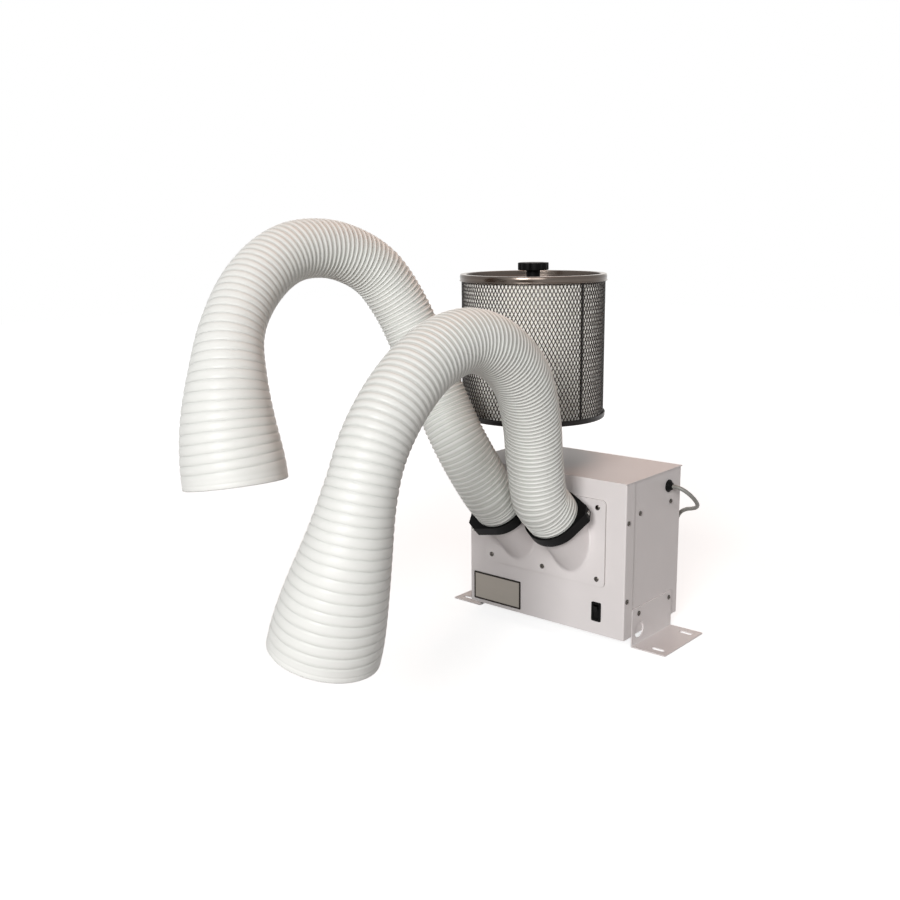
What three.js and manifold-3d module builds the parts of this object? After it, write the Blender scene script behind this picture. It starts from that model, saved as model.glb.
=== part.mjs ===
// Bench-top fume extractor: a sheet-steel blower cabinet on two foot brackets, two self-supporting
// ribbed hose arms with flared mouths, and a round filter cartridge on the outlet neck.
// Millimetres, +Z up. The origin is on the bench below the middle of the cabinet, and the front faces -Y.
import * as THREE from 'three';
import { mergeVertices } from 'three/addons/utils/BufferGeometryUtils.js';
import Module from 'manifold-3d';

// Clearances
const seat = 0.3; // between pieces that touch
const run = 0.3; // round a piece that turns or slides
const overcut = 5; // how far a cutter reaches past what it cuts
const curveDivisions = 1500; // for measuring along a curve

// Cabinet
const cabinetWidth = 300;
const cabinetDepth = 168;
const cabinetHeight = 247;
const cabinetLift = 18; // underside above the bench
const sheet = 1.5;
const flangeWidth = 24; // side return of the front cover

// Foot brackets
const footPlate = 2;
const footReach = 60; // flange, out from the cabinet
const footLength = 122; // along the cabinet's side, back from the cover's return
const footHeight = 61.5;
const footHoleRadius = 13;
const footHoleY = -38;
const footHoleZ = 24;
const slotLength = 21.6;
const slotWidth = 8;
const slotInset = 39; // slot centre, out from the bracket's upright
const slotEdge = 17; // slot centre, in from the flange's front and back edges

// Screws
const screwRadius = 2;
const screwHeadRadius = 4;
const screwHeadHeight = 2.4;
const screwLength = 8;
const screwCrown = 0.6; // top of the head, as a share of its radius
const screwSides = 6;
const sideScrewFront = -41;
const sideScrewBack = 52.5;
const footScrewZ = 51.5;
const sideScrewDrop = 53.5; // below the cabinet's top
const coverScrewInset = 7.3; // from the front
const coverScrewLow = 79.6;
const coverScrewDrop = 61.6; // below the cabinet's top

// Inlet plate with its two spigots
const plateWidth = 231;
const plateBottom = 97;
const plateTop = 234.6;
const plateCorner = 7;
const gasketThick = 1.5;
const plateScrewInsetX = 13.4;
const plateScrewInsetZ = 12;
const spigotPitch = 101;
const spigotHeight = 165.5; // where a spigot's axis meets the plate
const spigotRadius = 38;
const spigotWall = 1.5;
const spigotAngle = 45; // degrees above the horizontal
const spigotSides = 20;
const spigotLead = 60; // behind the plate, before it is cut off

// Collars, measured along the spigot's axis from the plate
const collarStart = 48.5;
const collarShoulder = 53;
const collarEnd = 67.5;
const collarWall = 2.4;
const lugReach = 9;
const lugWidth = 17;
const lugLength = 15;
const lugAngleRight = 20; // degrees round the collar from +X
const lugAngleLeft = 238;
const clampScrewRadius = 2.2;
const clampScrewHead = 4.2;
const clampScrewStand = 2.6;

// Hoses
const hoseRadius = 41.7; // over the ribs
const ribHeight = 1.5;
const hoseBore = 37.8;
const ribPitch = 10.8;
const ringPoints = 8;
const ribsPerBoreRing = 5;
const hoseStraight = 56; // two thirds of a hose diameter, square to the collar
const mouthRadius = 68.5;
const flareLength = 235;
const lowerRibs = 8;
const bendRibs = 10;
const wristRibs = 8;
const bellRibs = 17;

// Hose routes past their straight ends, as they stand
const routeRight = [
  [58, -190, 306], [71, -216, 370], [90, -268, 441], [98, -340, 490], [97, -400, 502], [100, -470, 484],
  [105, -530, 446], [108, -572, 400], [108, -595, 350], [100, -612, 280], [86, -622, 215], [71, -627, 156],
];
const routeLeft = [
  [-72, -202, 318], [-100, -207, 371], [-122, -213, 420], [-140, -224, 475], [-160, -242, 532],
  [-176, -275, 580], [-190, -335, 609], [-197, -400, 612], [-196, -450, 596], [-187, -505, 558],
  [-172, -547, 508], [-157, -569, 450], [-147, -579, 392], [-134, -582, 319],
];

// Switch and nameplate
const switchInset = 49.3; // from the cabinet's right side
const switchZ = 54.8;
const switchWidth = 13; // of its body, inside the rim
const switchHeight = 27;
const switchRim = 2;
const switchRimThick = 1.6;
const switchDepth = 24;
const rockerTilt = 9; // degrees either side of level
const rockerDepth = 7;
const rockerGap = 0.6;
const nameplateInset = 8; // from the cabinet's left side
const nameplateWidth = 97;
const nameplateBottom = 24;
const nameplateHeight = 48;
const nameplateThick = 0.8;

// Blower
const scrollX = -43;
const scrollZ = 122;
const scrollRadius = 80;
const scrollFront = -32;
const scrollBack = 26;
const scrollWall = 1.5;
const scrollSides = 20;
const scrollInletRadius = 46;
const wheelRadius = 62;
const wheelWidth = 42;
const wheelDisc = 2;
const wheelRing = 8;
const wheelBlades = 10;
const bladeThick = 1.4;
const bladeDepth = 16;
const hubRadius = 11;
const shaftRadius = 4;
const shaftClearance = 0.1;
const motorRadius = 50;
const motorClearance = 2.9; // behind the motor's end cap
const motorCap = 8;
const motorCapCrown = 0.8; // end of the cap, as a share of the motor's radius
const motorFlangeRadius = 58;
const motorFlangeThick = 3;
const cradleDrop = 40.2; // below the cabinet's top
const cradleFront = -52;
const cradleBack = 62;
const standWidth = 60;
const capacitorRadius = 18;
const capacitorLength = 62;
const capacitorInset = 63.2; // from the chassis' right side
const capacitorY = 20;
const terminalInset = 43.2;
const terminalY = -20;
const terminalSize = [44, 26, 22];

// Outlet neck and filter
const neckX = -85;
const neckRadius = 38;
const neckWall = 1.5;
const neckFlange = 5; // beyond the neck
const neckFlangeThick = 2;
const neckEntry = 24; // up into the filter
const filterBottom = 333;
const filterTop = 565.5;
const filterRadius = 119;
const filterSides = 28;
const seatRingWidth = 3.5;
const seatRingThick = 4;
const gasketHeight = 3;
const bottomCapHeight = 9;
const topRimHeight = 10;
const capThick = 1.2;
const panDepth = 9;
const screenThick = 1;
const screenInset = 1.5;
const mediaDepth = 38;
const pleats = 42;
const pleatDepth = 30;
const coreThick = 1.2;
const rodRadius = 5;
const barWidth = 16;
const barThick = 5;
const barBelow = 28; // under the neck's top
const knobHeadRadius = 25;
const knobHeadHeight = 12;
const knobStemRadius = 12;
const knobStand = 14; // stem, from the pan to the head
const knobLobes = 8;
const knobLobeDepth = 2;
const knobLobeSteps = 6;
const knobBoreDepth = 18;

// Power cord
const cordDiameter = 6.5;
const glandY = 43.3;
const glandDrop = 26.6; // below the cabinet's top
const glandRadius = 10;
const glandFlangeThick = 2.5;
const glandTipRadius = 5.2;
const glandOutside = 8;
const glandInside = 13;
const glandNeckRadius = 7;
// The cord's way down: X, Y and the height as a share of the gland's above the lying cord.
const cordRoute = [
  [165, 43.5, 0.9983], [174, 46, 0.9834], [182, 52, 0.9514], [186, 61, 0.911], [185, 72, 0.8705],
  [178, 83, 0.8364], [166, 92, 0.8109], [152, 99, 0.7896], [139, 105, 0.7555], [130, 110, 0.7001],
  [126, 113, 0.6234], [125, 115, 0.4956], [124, 116, 0.3593], [120, 117, 0.2187],
  [109, 117.5, 0.1037], [92, 117.5, 0.0356], [70, 117, 0.0066], [45, 116.5, 0], [20, 116, 0],
  [-5, 116, 0], [-20, 116, 0],
];
const cordSteps = 50;
const cordSides = 8;
const coilX = -30;
const coilY = 165;
const coilOuter = 49; // to the middle of the outer turn
const coilPitch = 8.2; // from turn to turn
const layerPitch = 7.4;
const layerTurns = 2.5;
const climbTurns = 0.5;
const loopSteps = 24;
const loopSides = 6;
const tieWidth = 9;
const tieThick = 1.6;
const tailLength = 18;
const cordLift = 0.4; // under the lying cord
const plugSleeve = 28;
const plugSleeveRadius = 5;
const plugSleeveFlare = 6.5;
const plugLength = 34;
const plugRadius = 11.5;
const bladeSpacing = 12.7;
const plugBlade = [1.5, 6.3, 16]; // thickness, width, length
const groundPinRadius = 2.4;
const groundPinDrop = 5.95;

// Places that several pieces share
const top = cabinetLift + cabinetHeight;
const half = cabinetWidth / 2;
const front = -cabinetDepth / 2;
const back = cabinetDepth / 2;
const chassisHalf = half - sheet - seat;
const switchX = half - switchInset;
const glandZ = top - glandDrop;
const footFront = front + flangeWidth + seat;
const footBack = footFront + footLength;
const plateFace = front - seat - gasketThick - seat - sheet;
const spigotTilt = THREE.MathUtils.degToRad(spigotAngle);
const spigotAxis = new THREE.Vector3(0, -Math.cos(spigotTilt), Math.sin(spigotTilt));
// A ring of few points keeps the area of the circle that it stands for.
const ringFacet = Math.sqrt((2 * Math.PI) / (ringPoints * Math.sin((2 * Math.PI) / ringPoints)));
const filterTopPan = filterTop - panDepth;
const neckTop = filterBottom + neckEntry;

const finish = (color, roughness, metalness) => (
  new THREE.MeshStandardMaterial({ color, roughness, metalness })
);
const paint = finish('#d9d4cf', 0.45, 0.1);
const zinc = finish('#b9bcc0', 0.35, 0.9);
const blackPlastic = finish('#1b1c1e', 0.5, 0);
const vinyl = finish('#eceae2', 0.3, 0);
const rubber = finish('#2b2c2e', 0.8, 0);
const aluminium = finish('#a7a8aa', 0.4, 0.9);
const galvanised = finish('#9ea3a6', 0.5, 0.8);
const paper = finish('#f0efea', 0.9, 0);
const cable = finish('#4f5654', 0.6, 0);
const darkSteel = finish('#3c3e42', 0.5, 0.6);

const wasm = await Module();
wasm.setup();

// A closed geometry as a solid that can be joined and cut.
function solid(geometry) {
  const bare = geometry.clone();
  bare.deleteAttribute('normal');
  bare.deleteAttribute('uv');
  const merged = mergeVertices(bare, 1e-4);
  const vertProperties = new Float32Array(merged.attributes.position.array);
  const triVerts = new Uint32Array(merged.index.array);
  return new wasm.Manifold(new wasm.Mesh({ numProp: 3, vertProperties, triVerts }));
}

// The geometry of a solid.
function surface(body) {
  const mesh = body.getMesh();
  const geometry = new THREE.BufferGeometry();
  geometry.setAttribute('position', new THREE.BufferAttribute(new Float32Array(mesh.vertProperties), 3));
  geometry.setIndex(new THREE.BufferAttribute(new Uint32Array(mesh.triVerts), 1));
  return geometry;
}

function join(...geometries) {
  return surface(geometries.map(solid).reduce((sum, part) => sum.add(part)));
}

function cut(geometry, ...cutters) {
  return surface(cutters.map(solid).reduce((rest, cutter) => rest.subtract(cutter), solid(geometry)));
}

function piece(name, geometry, material) {
  const mesh = new THREE.Mesh(geometry, material);
  mesh.name = name;
  return mesh;
}

function box(x0, x1, y0, y1, z0, z1) {
  const geometry = new THREE.BoxGeometry(x1 - x0, y1 - y0, z1 - z0);
  return geometry.translate((x0 + x1) / 2, (y0 + y1) / 2, (z0 + z1) / 2);
}

// A profile of [radius, height] pairs turned about the Z axis.
function turned(profile, sides) {
  const points = profile.map(([radius, height]) => new THREE.Vector2(radius, height));
  return new THREE.LatheGeometry(points, sides).rotateX(Math.PI / 2);
}

function rod(radius, z0, z1, sides) {
  return turned([[0, z0], [radius, z0], [radius, z1], [0, z1]], sides);
}

function pipe(outer, inner, z0, z1, sides) {
  return turned([[inner, z0], [outer, z0], [outer, z1], [inner, z1], [inner, z0]], sides);
}

const up = new THREE.Vector3(0, 0, 1);

// Turns a geometry built along +Z to point along a direction, from a start point.
function aim(geometry, start, direction) {
  const turn = new THREE.Quaternion().setFromUnitVectors(up, direction.clone().normalize());
  return geometry.applyQuaternion(turn).translate(start.x, start.y, start.z);
}

function roundedRectangle(x0, x1, y0, y1, radius) {
  const shape = new THREE.Shape();
  shape.absarc(x1 - radius, y0 + radius, radius, -Math.PI / 2, 0);
  shape.absarc(x1 - radius, y1 - radius, radius, 0, Math.PI / 2);
  shape.absarc(x0 + radius, y1 - radius, radius, Math.PI / 2, Math.PI);
  shape.absarc(x0 + radius, y0 + radius, radius, Math.PI, 1.5 * Math.PI);
  return shape;
}

// A flat piece drawn in X and Z as seen from the front, from the plane y0 back to y1.
function frontPlate(shape, y0, y1, curveSegments) {
  const geometry = new THREE.ExtrudeGeometry(shape, { depth: y1 - y0, bevelEnabled: false, curveSegments });
  return geometry.rotateX(Math.PI / 2).translate(0, y1, 0);
}

// Screws: each stands at a point of the outer face, with its head on the outward side.
const xRight = new THREE.Vector3(1, 0, 0);
const xLeft = new THREE.Vector3(-1, 0, 0);
const yFront = new THREE.Vector3(0, -1, 0);

function screw() {
  return turned([
    [0, -screwLength], [screwRadius, -screwLength], [screwRadius, seat], [screwHeadRadius, seat],
    [screwHeadRadius, seat + screwHeadHeight / 2], [screwHeadRadius * screwCrown, seat + screwHeadHeight],
    [0, seat + screwHeadHeight],
  ], screwSides);
}

// One named screw at each place, numbered from 1.
function screws(name, places) {
  return places.map(({ at, out }, i) => piece(`${name}_${i + 1}`, aim(screw(), at, out), zinc));
}

function screwHoles(places) {
  const reach = screwLength + overcut;
  return places.map(({ at, out }) => aim(rod(screwRadius + run, -reach, overcut, screwSides), at, out));
}

// The same places on both sides of the cabinet.
function bothSides(x, places) {
  return places.flatMap(([y, z]) => [
    { at: new THREE.Vector3(x, y, z), out: xRight },
    { at: new THREE.Vector3(-x, y, z), out: xLeft },
  ]);
}

const onRight = ({ out }) => out === xRight;
const sideScrewYs = [sideScrewFront, sideScrewBack];
const footFace = chassisHalf + seat + footPlate;
const footScrewPlaces = bothSides(footFace, sideScrewYs.map((y) => [y, footScrewZ]));
const sideScrewPlaces = bothSides(chassisHalf, sideScrewYs.map((y) => [y, top - sideScrewDrop]));
const coverScrewY = front + coverScrewInset;
const coverScrewZs = [coverScrewLow, top - coverScrewDrop];
const coverScrewPlaces = bothSides(half, coverScrewZs.map((z) => [coverScrewY, z]));
const plateScrewX = plateWidth / 2 - plateScrewInsetX;
const plateScrewPlaces = [-plateScrewX, 0, plateScrewX].flatMap((x) => (
  [plateBottom + plateScrewInsetZ, plateTop - plateScrewInsetZ].map((z) => (
    { at: new THREE.Vector3(x, plateFace, z), out: yFront }
  ))
));

// Spigots: where each axis meets the plate, and the bore along it.
const spigotFoot = (side) => new THREE.Vector3(side * spigotPitch / 2, plateFace, spigotHeight);
const alongSpigot = (side, distance) => spigotFoot(side).addScaledVector(spigotAxis, distance);

function spigotBore(side) {
  const bore = rod(spigotRadius - spigotWall, -spigotLead, collarEnd, spigotSides);
  return aim(bore, spigotFoot(side), spigotAxis);
}

function cabinet() {
  const group = new THREE.Group();
  const inside = chassisHalf - sheet;
  const chassis = cut(
    box(-chassisHalf, chassisHalf, front + sheet + seat, back, cabinetLift, top - sheet - seat),
    box(-inside, inside, front - overcut, back - sheet, cabinetLift + sheet, top + overcut),
    ...screwHoles([...footScrewPlaces, ...sideScrewPlaces, ...coverScrewPlaces]),
    aim(rod(glandNeckRadius + run, -overcut, overcut, spigotSides),
      new THREE.Vector3(chassisHalf, glandY, glandZ), xRight),
  );
  group.add(piece('chassis', chassis, paint));

  const flange = (x0, x1) => box(x0, x1, front, front + flangeWidth, cabinetLift, top);
  const switchHoleX = switchWidth / 2 + run;
  const switchHoleZ = switchHeight / 2 + run;
  const cover = cut(
    join(
      box(-half, half, front, front + sheet, cabinetLift, top),
      box(-half, half, front, back, top - sheet, top),
      flange(-half, sheet - half),
      flange(half - sheet, half),
    ),
    spigotBore(1),
    spigotBore(-1),
    box(switchX - switchHoleX, switchX + switchHoleX, front - overcut, front + overcut,
      switchZ - switchHoleZ, switchZ + switchHoleZ),
    rod(neckRadius - neckWall, top - overcut, top + overcut, spigotSides).translate(neckX, 0, 0),
    ...screwHoles([...coverScrewPlaces, ...plateScrewPlaces]),
  );
  group.add(piece('front_cover', cover, paint));

  const outline = roundedRectangle(-plateWidth / 2, plateWidth / 2, plateBottom, plateTop, plateCorner);
  const plateLike = (y0, y1) => cut(
    frontPlate(outline, y0, y1, 3), spigotBore(1), spigotBore(-1), ...screwHoles(plateScrewPlaces),
  );
  group.add(piece('inlet_gasket', plateLike(front - seat - gasketThick, front - seat), rubber));
  group.add(piece('inlet_plate', plateLike(plateFace, plateFace + sheet), paint));
  for (const [name, side] of [['spigot_right', 1], ['spigot_left', -1]]) {
    const stock = rod(spigotRadius, -spigotLead, collarShoulder, spigotSides);
    const span = spigotLead * 2;
    const behind = box(
      -half, half, plateFace - seat, plateFace + span, spigotHeight - span, spigotHeight + span,
    );
    const tube = aim(stock, spigotFoot(side), spigotAxis);
    group.add(piece(name, cut(tube, spigotBore(side), behind), paint));
  }
  group.add(
    ...screws('inlet_plate_screw', plateScrewPlaces),
    ...screws('cover_screw', coverScrewPlaces.filter(onRight)),
    ...screws('side_screw', sideScrewPlaces.filter(onRight)),
    ...screws('foot_screw', footScrewPlaces.filter(onRight)),
  );

  const bracket = footBracket();
  group.add(piece('foot_bracket_right', bracket, paint));
  group.add(piece('foot_bracket_left', surface(solid(bracket).mirror([1, 0, 0])), paint));

  const nameplateLeft = nameplateInset - half;
  group.add(piece('nameplate', box(nameplateLeft, nameplateLeft + nameplateWidth, front - seat - nameplateThick, front - seat,
    nameplateBottom, nameplateBottom + nameplateHeight), aluminium));
  return group;
}

// The right foot: an angle with two slots in its flange and a wire hole in its upright.
function footBracket() {
  const inner = chassisHalf + seat;
  const outer = inner + footReach;
  const profile = new THREE.Shape([
    [inner, 0], [outer, 0], [outer, footPlate],
    [inner + footPlate, footPlate], [inner + footPlate, footHeight], [inner, footHeight],
  ].map(([x, z]) => new THREE.Vector2(x, z)));
  const x = inner + slotInset;
  const slots = [footFront + slotEdge, footBack - slotEdge].map((y) => {
    const shape = roundedRectangle(
      x - slotLength / 2, x + slotLength / 2, y - slotWidth / 2, y + slotWidth / 2, slotWidth / 2,
    );
    const options = { depth: footPlate + 2 * overcut, bevelEnabled: false, curveSegments: 3 };
    return new THREE.ExtrudeGeometry(shape, options).translate(0, 0, -overcut);
  });
  const wireHole = aim(
    rod(footHoleRadius, -footPlate - overcut, overcut, spigotSides),
    new THREE.Vector3(footFace, footHoleY, footHoleZ), xRight,
  );
  const angle = frontPlate(profile, footFront, footBack, 1);
  return cut(angle, ...slots, wireHole, ...screwHoles(footScrewPlaces.filter(onRight)));
}

function rockerSwitch() {
  const group = new THREE.Group();
  group.position.set(switchX, front, switchZ);
  const w = switchWidth / 2;
  const h = switchHeight / 2;
  const pocketW = w - switchRim;
  const pocketH = h - switchRim;
  const pocketDepth = rockerDepth + pocketH * Math.tan(THREE.MathUtils.degToRad(rockerTilt)) + rockerGap;
  const housing = cut(
    join(
      box(-w, w, -seat - switchRimThick / 2, switchDepth, -h, h),
      box(-w - switchRim, w + switchRim, -seat - switchRimThick, -seat, -h - switchRim, h + switchRim),
    ),
    box(-pocketW, pocketW, -overcut, pocketDepth, -pocketH, pocketH),
  );
  group.add(piece('switch_housing', housing, blackPlastic));

  const rocker = new THREE.Group();
  rocker.rotation.x = THREE.MathUtils.degToRad(rockerTilt);
  const rockerW = pocketW - rockerGap;
  const rockerH = pocketH * Math.cos(THREE.MathUtils.degToRad(rockerTilt)) - 2 * rockerGap;
  const dip = rockerDepth / 4;
  const outline = new THREE.Shape();
  outline.moveTo(-rockerDepth / 4, -rockerH);
  outline.lineTo(rockerDepth / 2, -rockerH / 2);
  outline.lineTo(rockerDepth / 2, rockerH / 2);
  outline.lineTo(-rockerDepth / 4, rockerH);
  outline.lineTo(-rockerDepth / 2, rockerH);
  outline.quadraticCurveTo(-rockerDepth / 2 + dip, 0, -rockerDepth / 2, -rockerH);
  const options = { depth: 2 * rockerW, bevelEnabled: false, curveSegments: 6 };
  const body = new THREE.ExtrudeGeometry(outline, options);
  body.applyMatrix4(new THREE.Matrix4().makeBasis(
    new THREE.Vector3(0, 1, 0), new THREE.Vector3(0, 0, 1), new THREE.Vector3(1, 0, 0),
  )).translate(-rockerW, 0, 0);
  rocker.add(piece('switch_rocker', body, blackPlastic));
  group.add(rocker);
  return group;
}

function blower() {
  const group = new THREE.Group();
  const ductLeft = scrollX - scrollRadius;
  const ductRight = 2 * neckX - ductLeft;
  const ductTop = top - sheet - seat;
  const middle = new THREE.Vector3(scrollX, 0, scrollZ);
  const along = (geometry) => aim(geometry, middle, new THREE.Vector3(0, 1, 0));
  const y0 = scrollFront + scrollWall;
  const y1 = scrollBack - scrollWall;
  const scroll = cut(
    join(along(rod(scrollRadius, scrollFront, scrollBack, scrollSides)),
      box(ductLeft, ductRight, scrollFront, scrollBack, scrollZ, ductTop)),
    join(along(rod(scrollRadius - scrollWall, y0, y1, scrollSides)),
      box(ductLeft + scrollWall, ductRight - scrollWall, y0, y1, scrollZ, ductTop + overcut)),
    along(rod(scrollInletRadius, scrollFront - overcut, scrollFront + overcut, spigotSides)),
    along(rod(hubRadius + run, scrollBack - overcut, scrollBack + overcut, spigotSides)),
  );
  group.add(piece('blower_scroll', scroll, galvanised));

  const wheelBack = y1 - 4 * run;
  const wheelFront = wheelBack - wheelWidth;
  const blades = [];
  for (let i = 0; i < wheelBlades; i += 1) {
    const blade = box(wheelRadius - bladeDepth, wheelRadius - run, -bladeThick / 2, bladeThick / 2,
      wheelFront + wheelDisc / 2, wheelBack - wheelDisc / 2);
    blades.push(blade.rotateZ((2 * Math.PI * i) / wheelBlades));
  }
  const wheel = cut(
    join(
      rod(wheelRadius, wheelBack - wheelDisc, wheelBack, spigotSides),
      pipe(wheelRadius, wheelRadius - wheelRing, wheelFront, wheelFront + wheelDisc, spigotSides),
      rod(hubRadius, wheelBack - wheelWidth / 2, wheelBack, screwSides * 2),
      ...blades,
    ),
    rod(shaftRadius + shaftClearance, wheelFront - overcut, wheelBack + overcut, screwSides * 2),
  );
  group.add(piece('blower_wheel', along(wheel), galvanised));

  const flangeY = scrollBack + seat;
  const bodyY = flangeY + motorFlangeThick;
  const motorLength = back - sheet - motorClearance - seat - bodyY;
  const shaftStop = bodyY + motorLength / 2;
  const motorBore = rod(shaftRadius + shaftClearance, flangeY - overcut, shaftStop + seat, screwSides * 2);
  const motor = cut(
    join(rod(motorFlangeRadius, flangeY, bodyY, scrollSides),
      rod(motorRadius, flangeY, bodyY + motorLength - motorCap, scrollSides)),
    motorBore,
  );
  group.add(piece('motor_body', along(motor), darkSteel));
  const capY = bodyY + motorLength - motorCap + seat;
  group.add(piece('motor_end_cap', along(turned([
    [0, capY], [motorRadius, capY], [motorRadius, capY + motorCap / 2],
    [motorRadius * motorCapCrown, capY + motorCap], [0, capY + motorCap],
  ], scrollSides)), aluminium));
  const shaft = rod(shaftRadius, wheelBack - wheelWidth / 2, shaftStop, screwSides * 2);
  group.add(piece('motor_shaft', along(shaft), zinc));

  // A folded cradle screwed to both sides carries the blower on its stand.
  const out = chassisHalf - sheet - seat;
  const floor = cabinetLift + sheet + seat;
  const cradle = cut(
    box(-out, out, cradleFront, cradleBack, floor, top - cradleDrop),
    box(-out + sheet, out - sheet, cradleFront - overcut, cradleBack + overcut, floor + sheet, top),
    ...screwHoles([...footScrewPlaces, ...sideScrewPlaces]),
  );
  group.add(piece('blower_cradle', cradle, galvanised));
  const standFoot = floor + sheet + seat;
  const stand = cut(
    box(scrollX - standWidth / 2, scrollX + standWidth / 2, scrollFront, scrollBack, standFoot, scrollZ),
    along(rod(scrollRadius + seat, scrollFront - overcut, scrollBack + overcut, scrollSides)),
  );
  group.add(piece('blower_stand', stand, galvanised));

  const capacitor = rod(capacitorRadius, 0, capacitorLength, spigotSides);
  capacitor.translate(chassisHalf - capacitorInset, capacitorY, standFoot);
  group.add(piece('run_capacitor', capacitor, aluminium));
  const terminalX = chassisHalf - terminalInset;
  const [tx, ty, tz] = terminalSize;
  group.add(piece('terminal_block', box(terminalX - tx / 2, terminalX + tx / 2, terminalY - ty / 2,
    terminalY + ty / 2, standFoot, standFoot + tz), blackPlastic));
  return group;
}

function filterUnit() {
  const group = new THREE.Group();
  group.position.x = neckX;
  const seatTop = filterBottom - gasketHeight - 2 * seat;
  const seatRadius = neckRadius + seatRingWidth;
  const inner = neckRadius - neckWall;
  const neckFoot = top + seat;
  const flangeRadius = neckRadius + neckFlange;
  const neck = turned([
    [inner, neckFoot], [flangeRadius, neckFoot], [flangeRadius, neckFoot + neckFlangeThick],
    [neckRadius, neckFoot + neckFlangeThick], [neckRadius, seatTop - seatRingThick],
    [seatRadius, seatTop - seatRingThick], [seatRadius, seatTop], [neckRadius, seatTop],
    [neckRadius, neckTop], [inner, neckTop], [inner, neckFoot],
  ], spigotSides);
  group.add(piece('outlet_neck', neck, paint));
  const barTop = neckTop - barBelow;
  const chord = Math.sqrt((inner - seat) ** 2 - (barWidth / 2) ** 2) * Math.cos(Math.PI / spigotSides);
  const bar = box(-chord, chord, -barWidth / 2, barWidth / 2, barTop - barThick, barTop);
  const knobFoot = filterTopPan + seat;
  const rodTop = knobFoot + knobBoreDepth - seat;
  const stud = rod(rodRadius, barTop - barThick / 2, rodTop, screwSides * 2);
  group.add(piece('filter_rod', join(bar, stud), zinc));

  const holeRadius = neckRadius + run;
  const gasketTop = filterBottom - seat;
  const gasketRing = pipe(seatRadius, holeRadius, gasketTop - gasketHeight, gasketTop, filterSides);
  group.add(piece('filter_gasket', gasketRing, rubber));
  const capInner = filterRadius - capThick;
  const capEdge = filterBottom + bottomCapHeight;
  const bottomCap = turned([
    [holeRadius, filterBottom], [filterRadius, filterBottom], [filterRadius, capEdge], [capInner, capEdge],
    [capInner, filterBottom + capThick], [holeRadius, filterBottom + capThick], [holeRadius, filterBottom],
  ], filterSides);
  group.add(piece('filter_bottom_cap', bottomCap, darkSteel));
  const rodHole = rodRadius + run;
  const rimInner = filterRadius - topRimHeight;
  const rimEdge = filterTop - topRimHeight - capThick;
  const rimUnder = filterTop - capThick;
  const panUnder = filterTopPan - capThick;
  const topCap = turned([
    [rodHole, panUnder], [rimInner + capThick, panUnder], [rimInner + capThick, rimUnder],
    [capInner, rimUnder], [capInner, rimEdge], [filterRadius, rimEdge], [filterRadius, filterTop],
    [rimInner, filterTop], [rimInner, filterTopPan], [rodHole, filterTopPan], [rodHole, panUnder],
  ], filterSides);
  group.add(piece('filter_top_cap', topCap, zinc));

  const low = filterBottom + capThick + seat;
  const high = panUnder - seat;
  const screenOuter = capInner - screenInset;
  const screenInner = screenOuter - screenThick;
  const screenTube = pipe(screenOuter, screenInner, low, high, filterSides);
  group.add(piece('filter_screen', screenTube, galvanised));
  const mediaOuter = screenInner - seat;
  const mediaInner = mediaOuter - mediaDepth;
  const zigzag = [];
  for (let i = 0; i < 2 * pleats; i += 1) {
    const angle = (Math.PI * i) / pleats;
    const radius = (i % 2 ? mediaOuter - pleatDepth : mediaOuter * Math.cos(Math.PI / filterSides));
    zigzag.push(new THREE.Vector2(radius * Math.cos(angle), radius * Math.sin(angle)));
  }
  const pleatShape = new THREE.Shape(zigzag);
  const hole = new THREE.Path();
  hole.absarc(0, 0, mediaInner, 0, 2 * Math.PI, true);
  pleatShape.holes.push(hole);
  const media = new THREE.ExtrudeGeometry(pleatShape, {
    depth: high - low, bevelEnabled: false, curveSegments: filterSides / 2,
  });
  group.add(piece('filter_media', media.translate(0, 0, low), paper));
  const coreOuter = mediaInner * Math.cos(Math.PI / filterSides) - seat;
  group.add(piece('filter_core', pipe(coreOuter, coreOuter - coreThick, low, high, filterSides), galvanised));

  const headFoot = knobFoot + knobStand;
  const lobes = [];
  const lobeSteps = knobLobes * knobLobeSteps;
  for (let i = 0; i < lobeSteps; i += 1) {
    const angle = (2 * Math.PI * i) / lobeSteps;
    const radius = knobHeadRadius - (knobLobeDepth / 2) * (1 - Math.cos(knobLobes * angle));
    lobes.push(new THREE.Vector2(radius * Math.cos(angle), radius * Math.sin(angle)));
  }
  const options = { depth: knobHeadHeight, bevelEnabled: false };
  const head = new THREE.ExtrudeGeometry(new THREE.Shape(lobes), options).translate(0, 0, headFoot);
  const knob = cut(
    join(head, rod(knobStemRadius, knobFoot, headFoot + overcut / 2, spigotSides)),
    rod(rodRadius + run, knobFoot - overcut, knobFoot + knobBoreDepth, screwSides * 2),
  );
  group.add(piece('filter_knob', knob, blackPlastic));
  return group;
}

// The middle line of a hose: straight out of its collar for a short way, then along its route.
function hoseCurve(side, route) {
  const start = alongSpigot(side, collarShoulder + seat);
  const bendStart = alongSpigot(side, collarShoulder + seat + hoseStraight);
  const points = [
    start, alongSpigot(side, collarShoulder + seat + hoseStraight / 2), bendStart,
    ...route.map((point) => new THREE.Vector3(...point)),
  ];
  const curve = new THREE.CatmullRomCurve3(points, false, 'centripetal');
  curve.arcLengthDivisions = curveDivisions;
  return curve;
}

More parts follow.
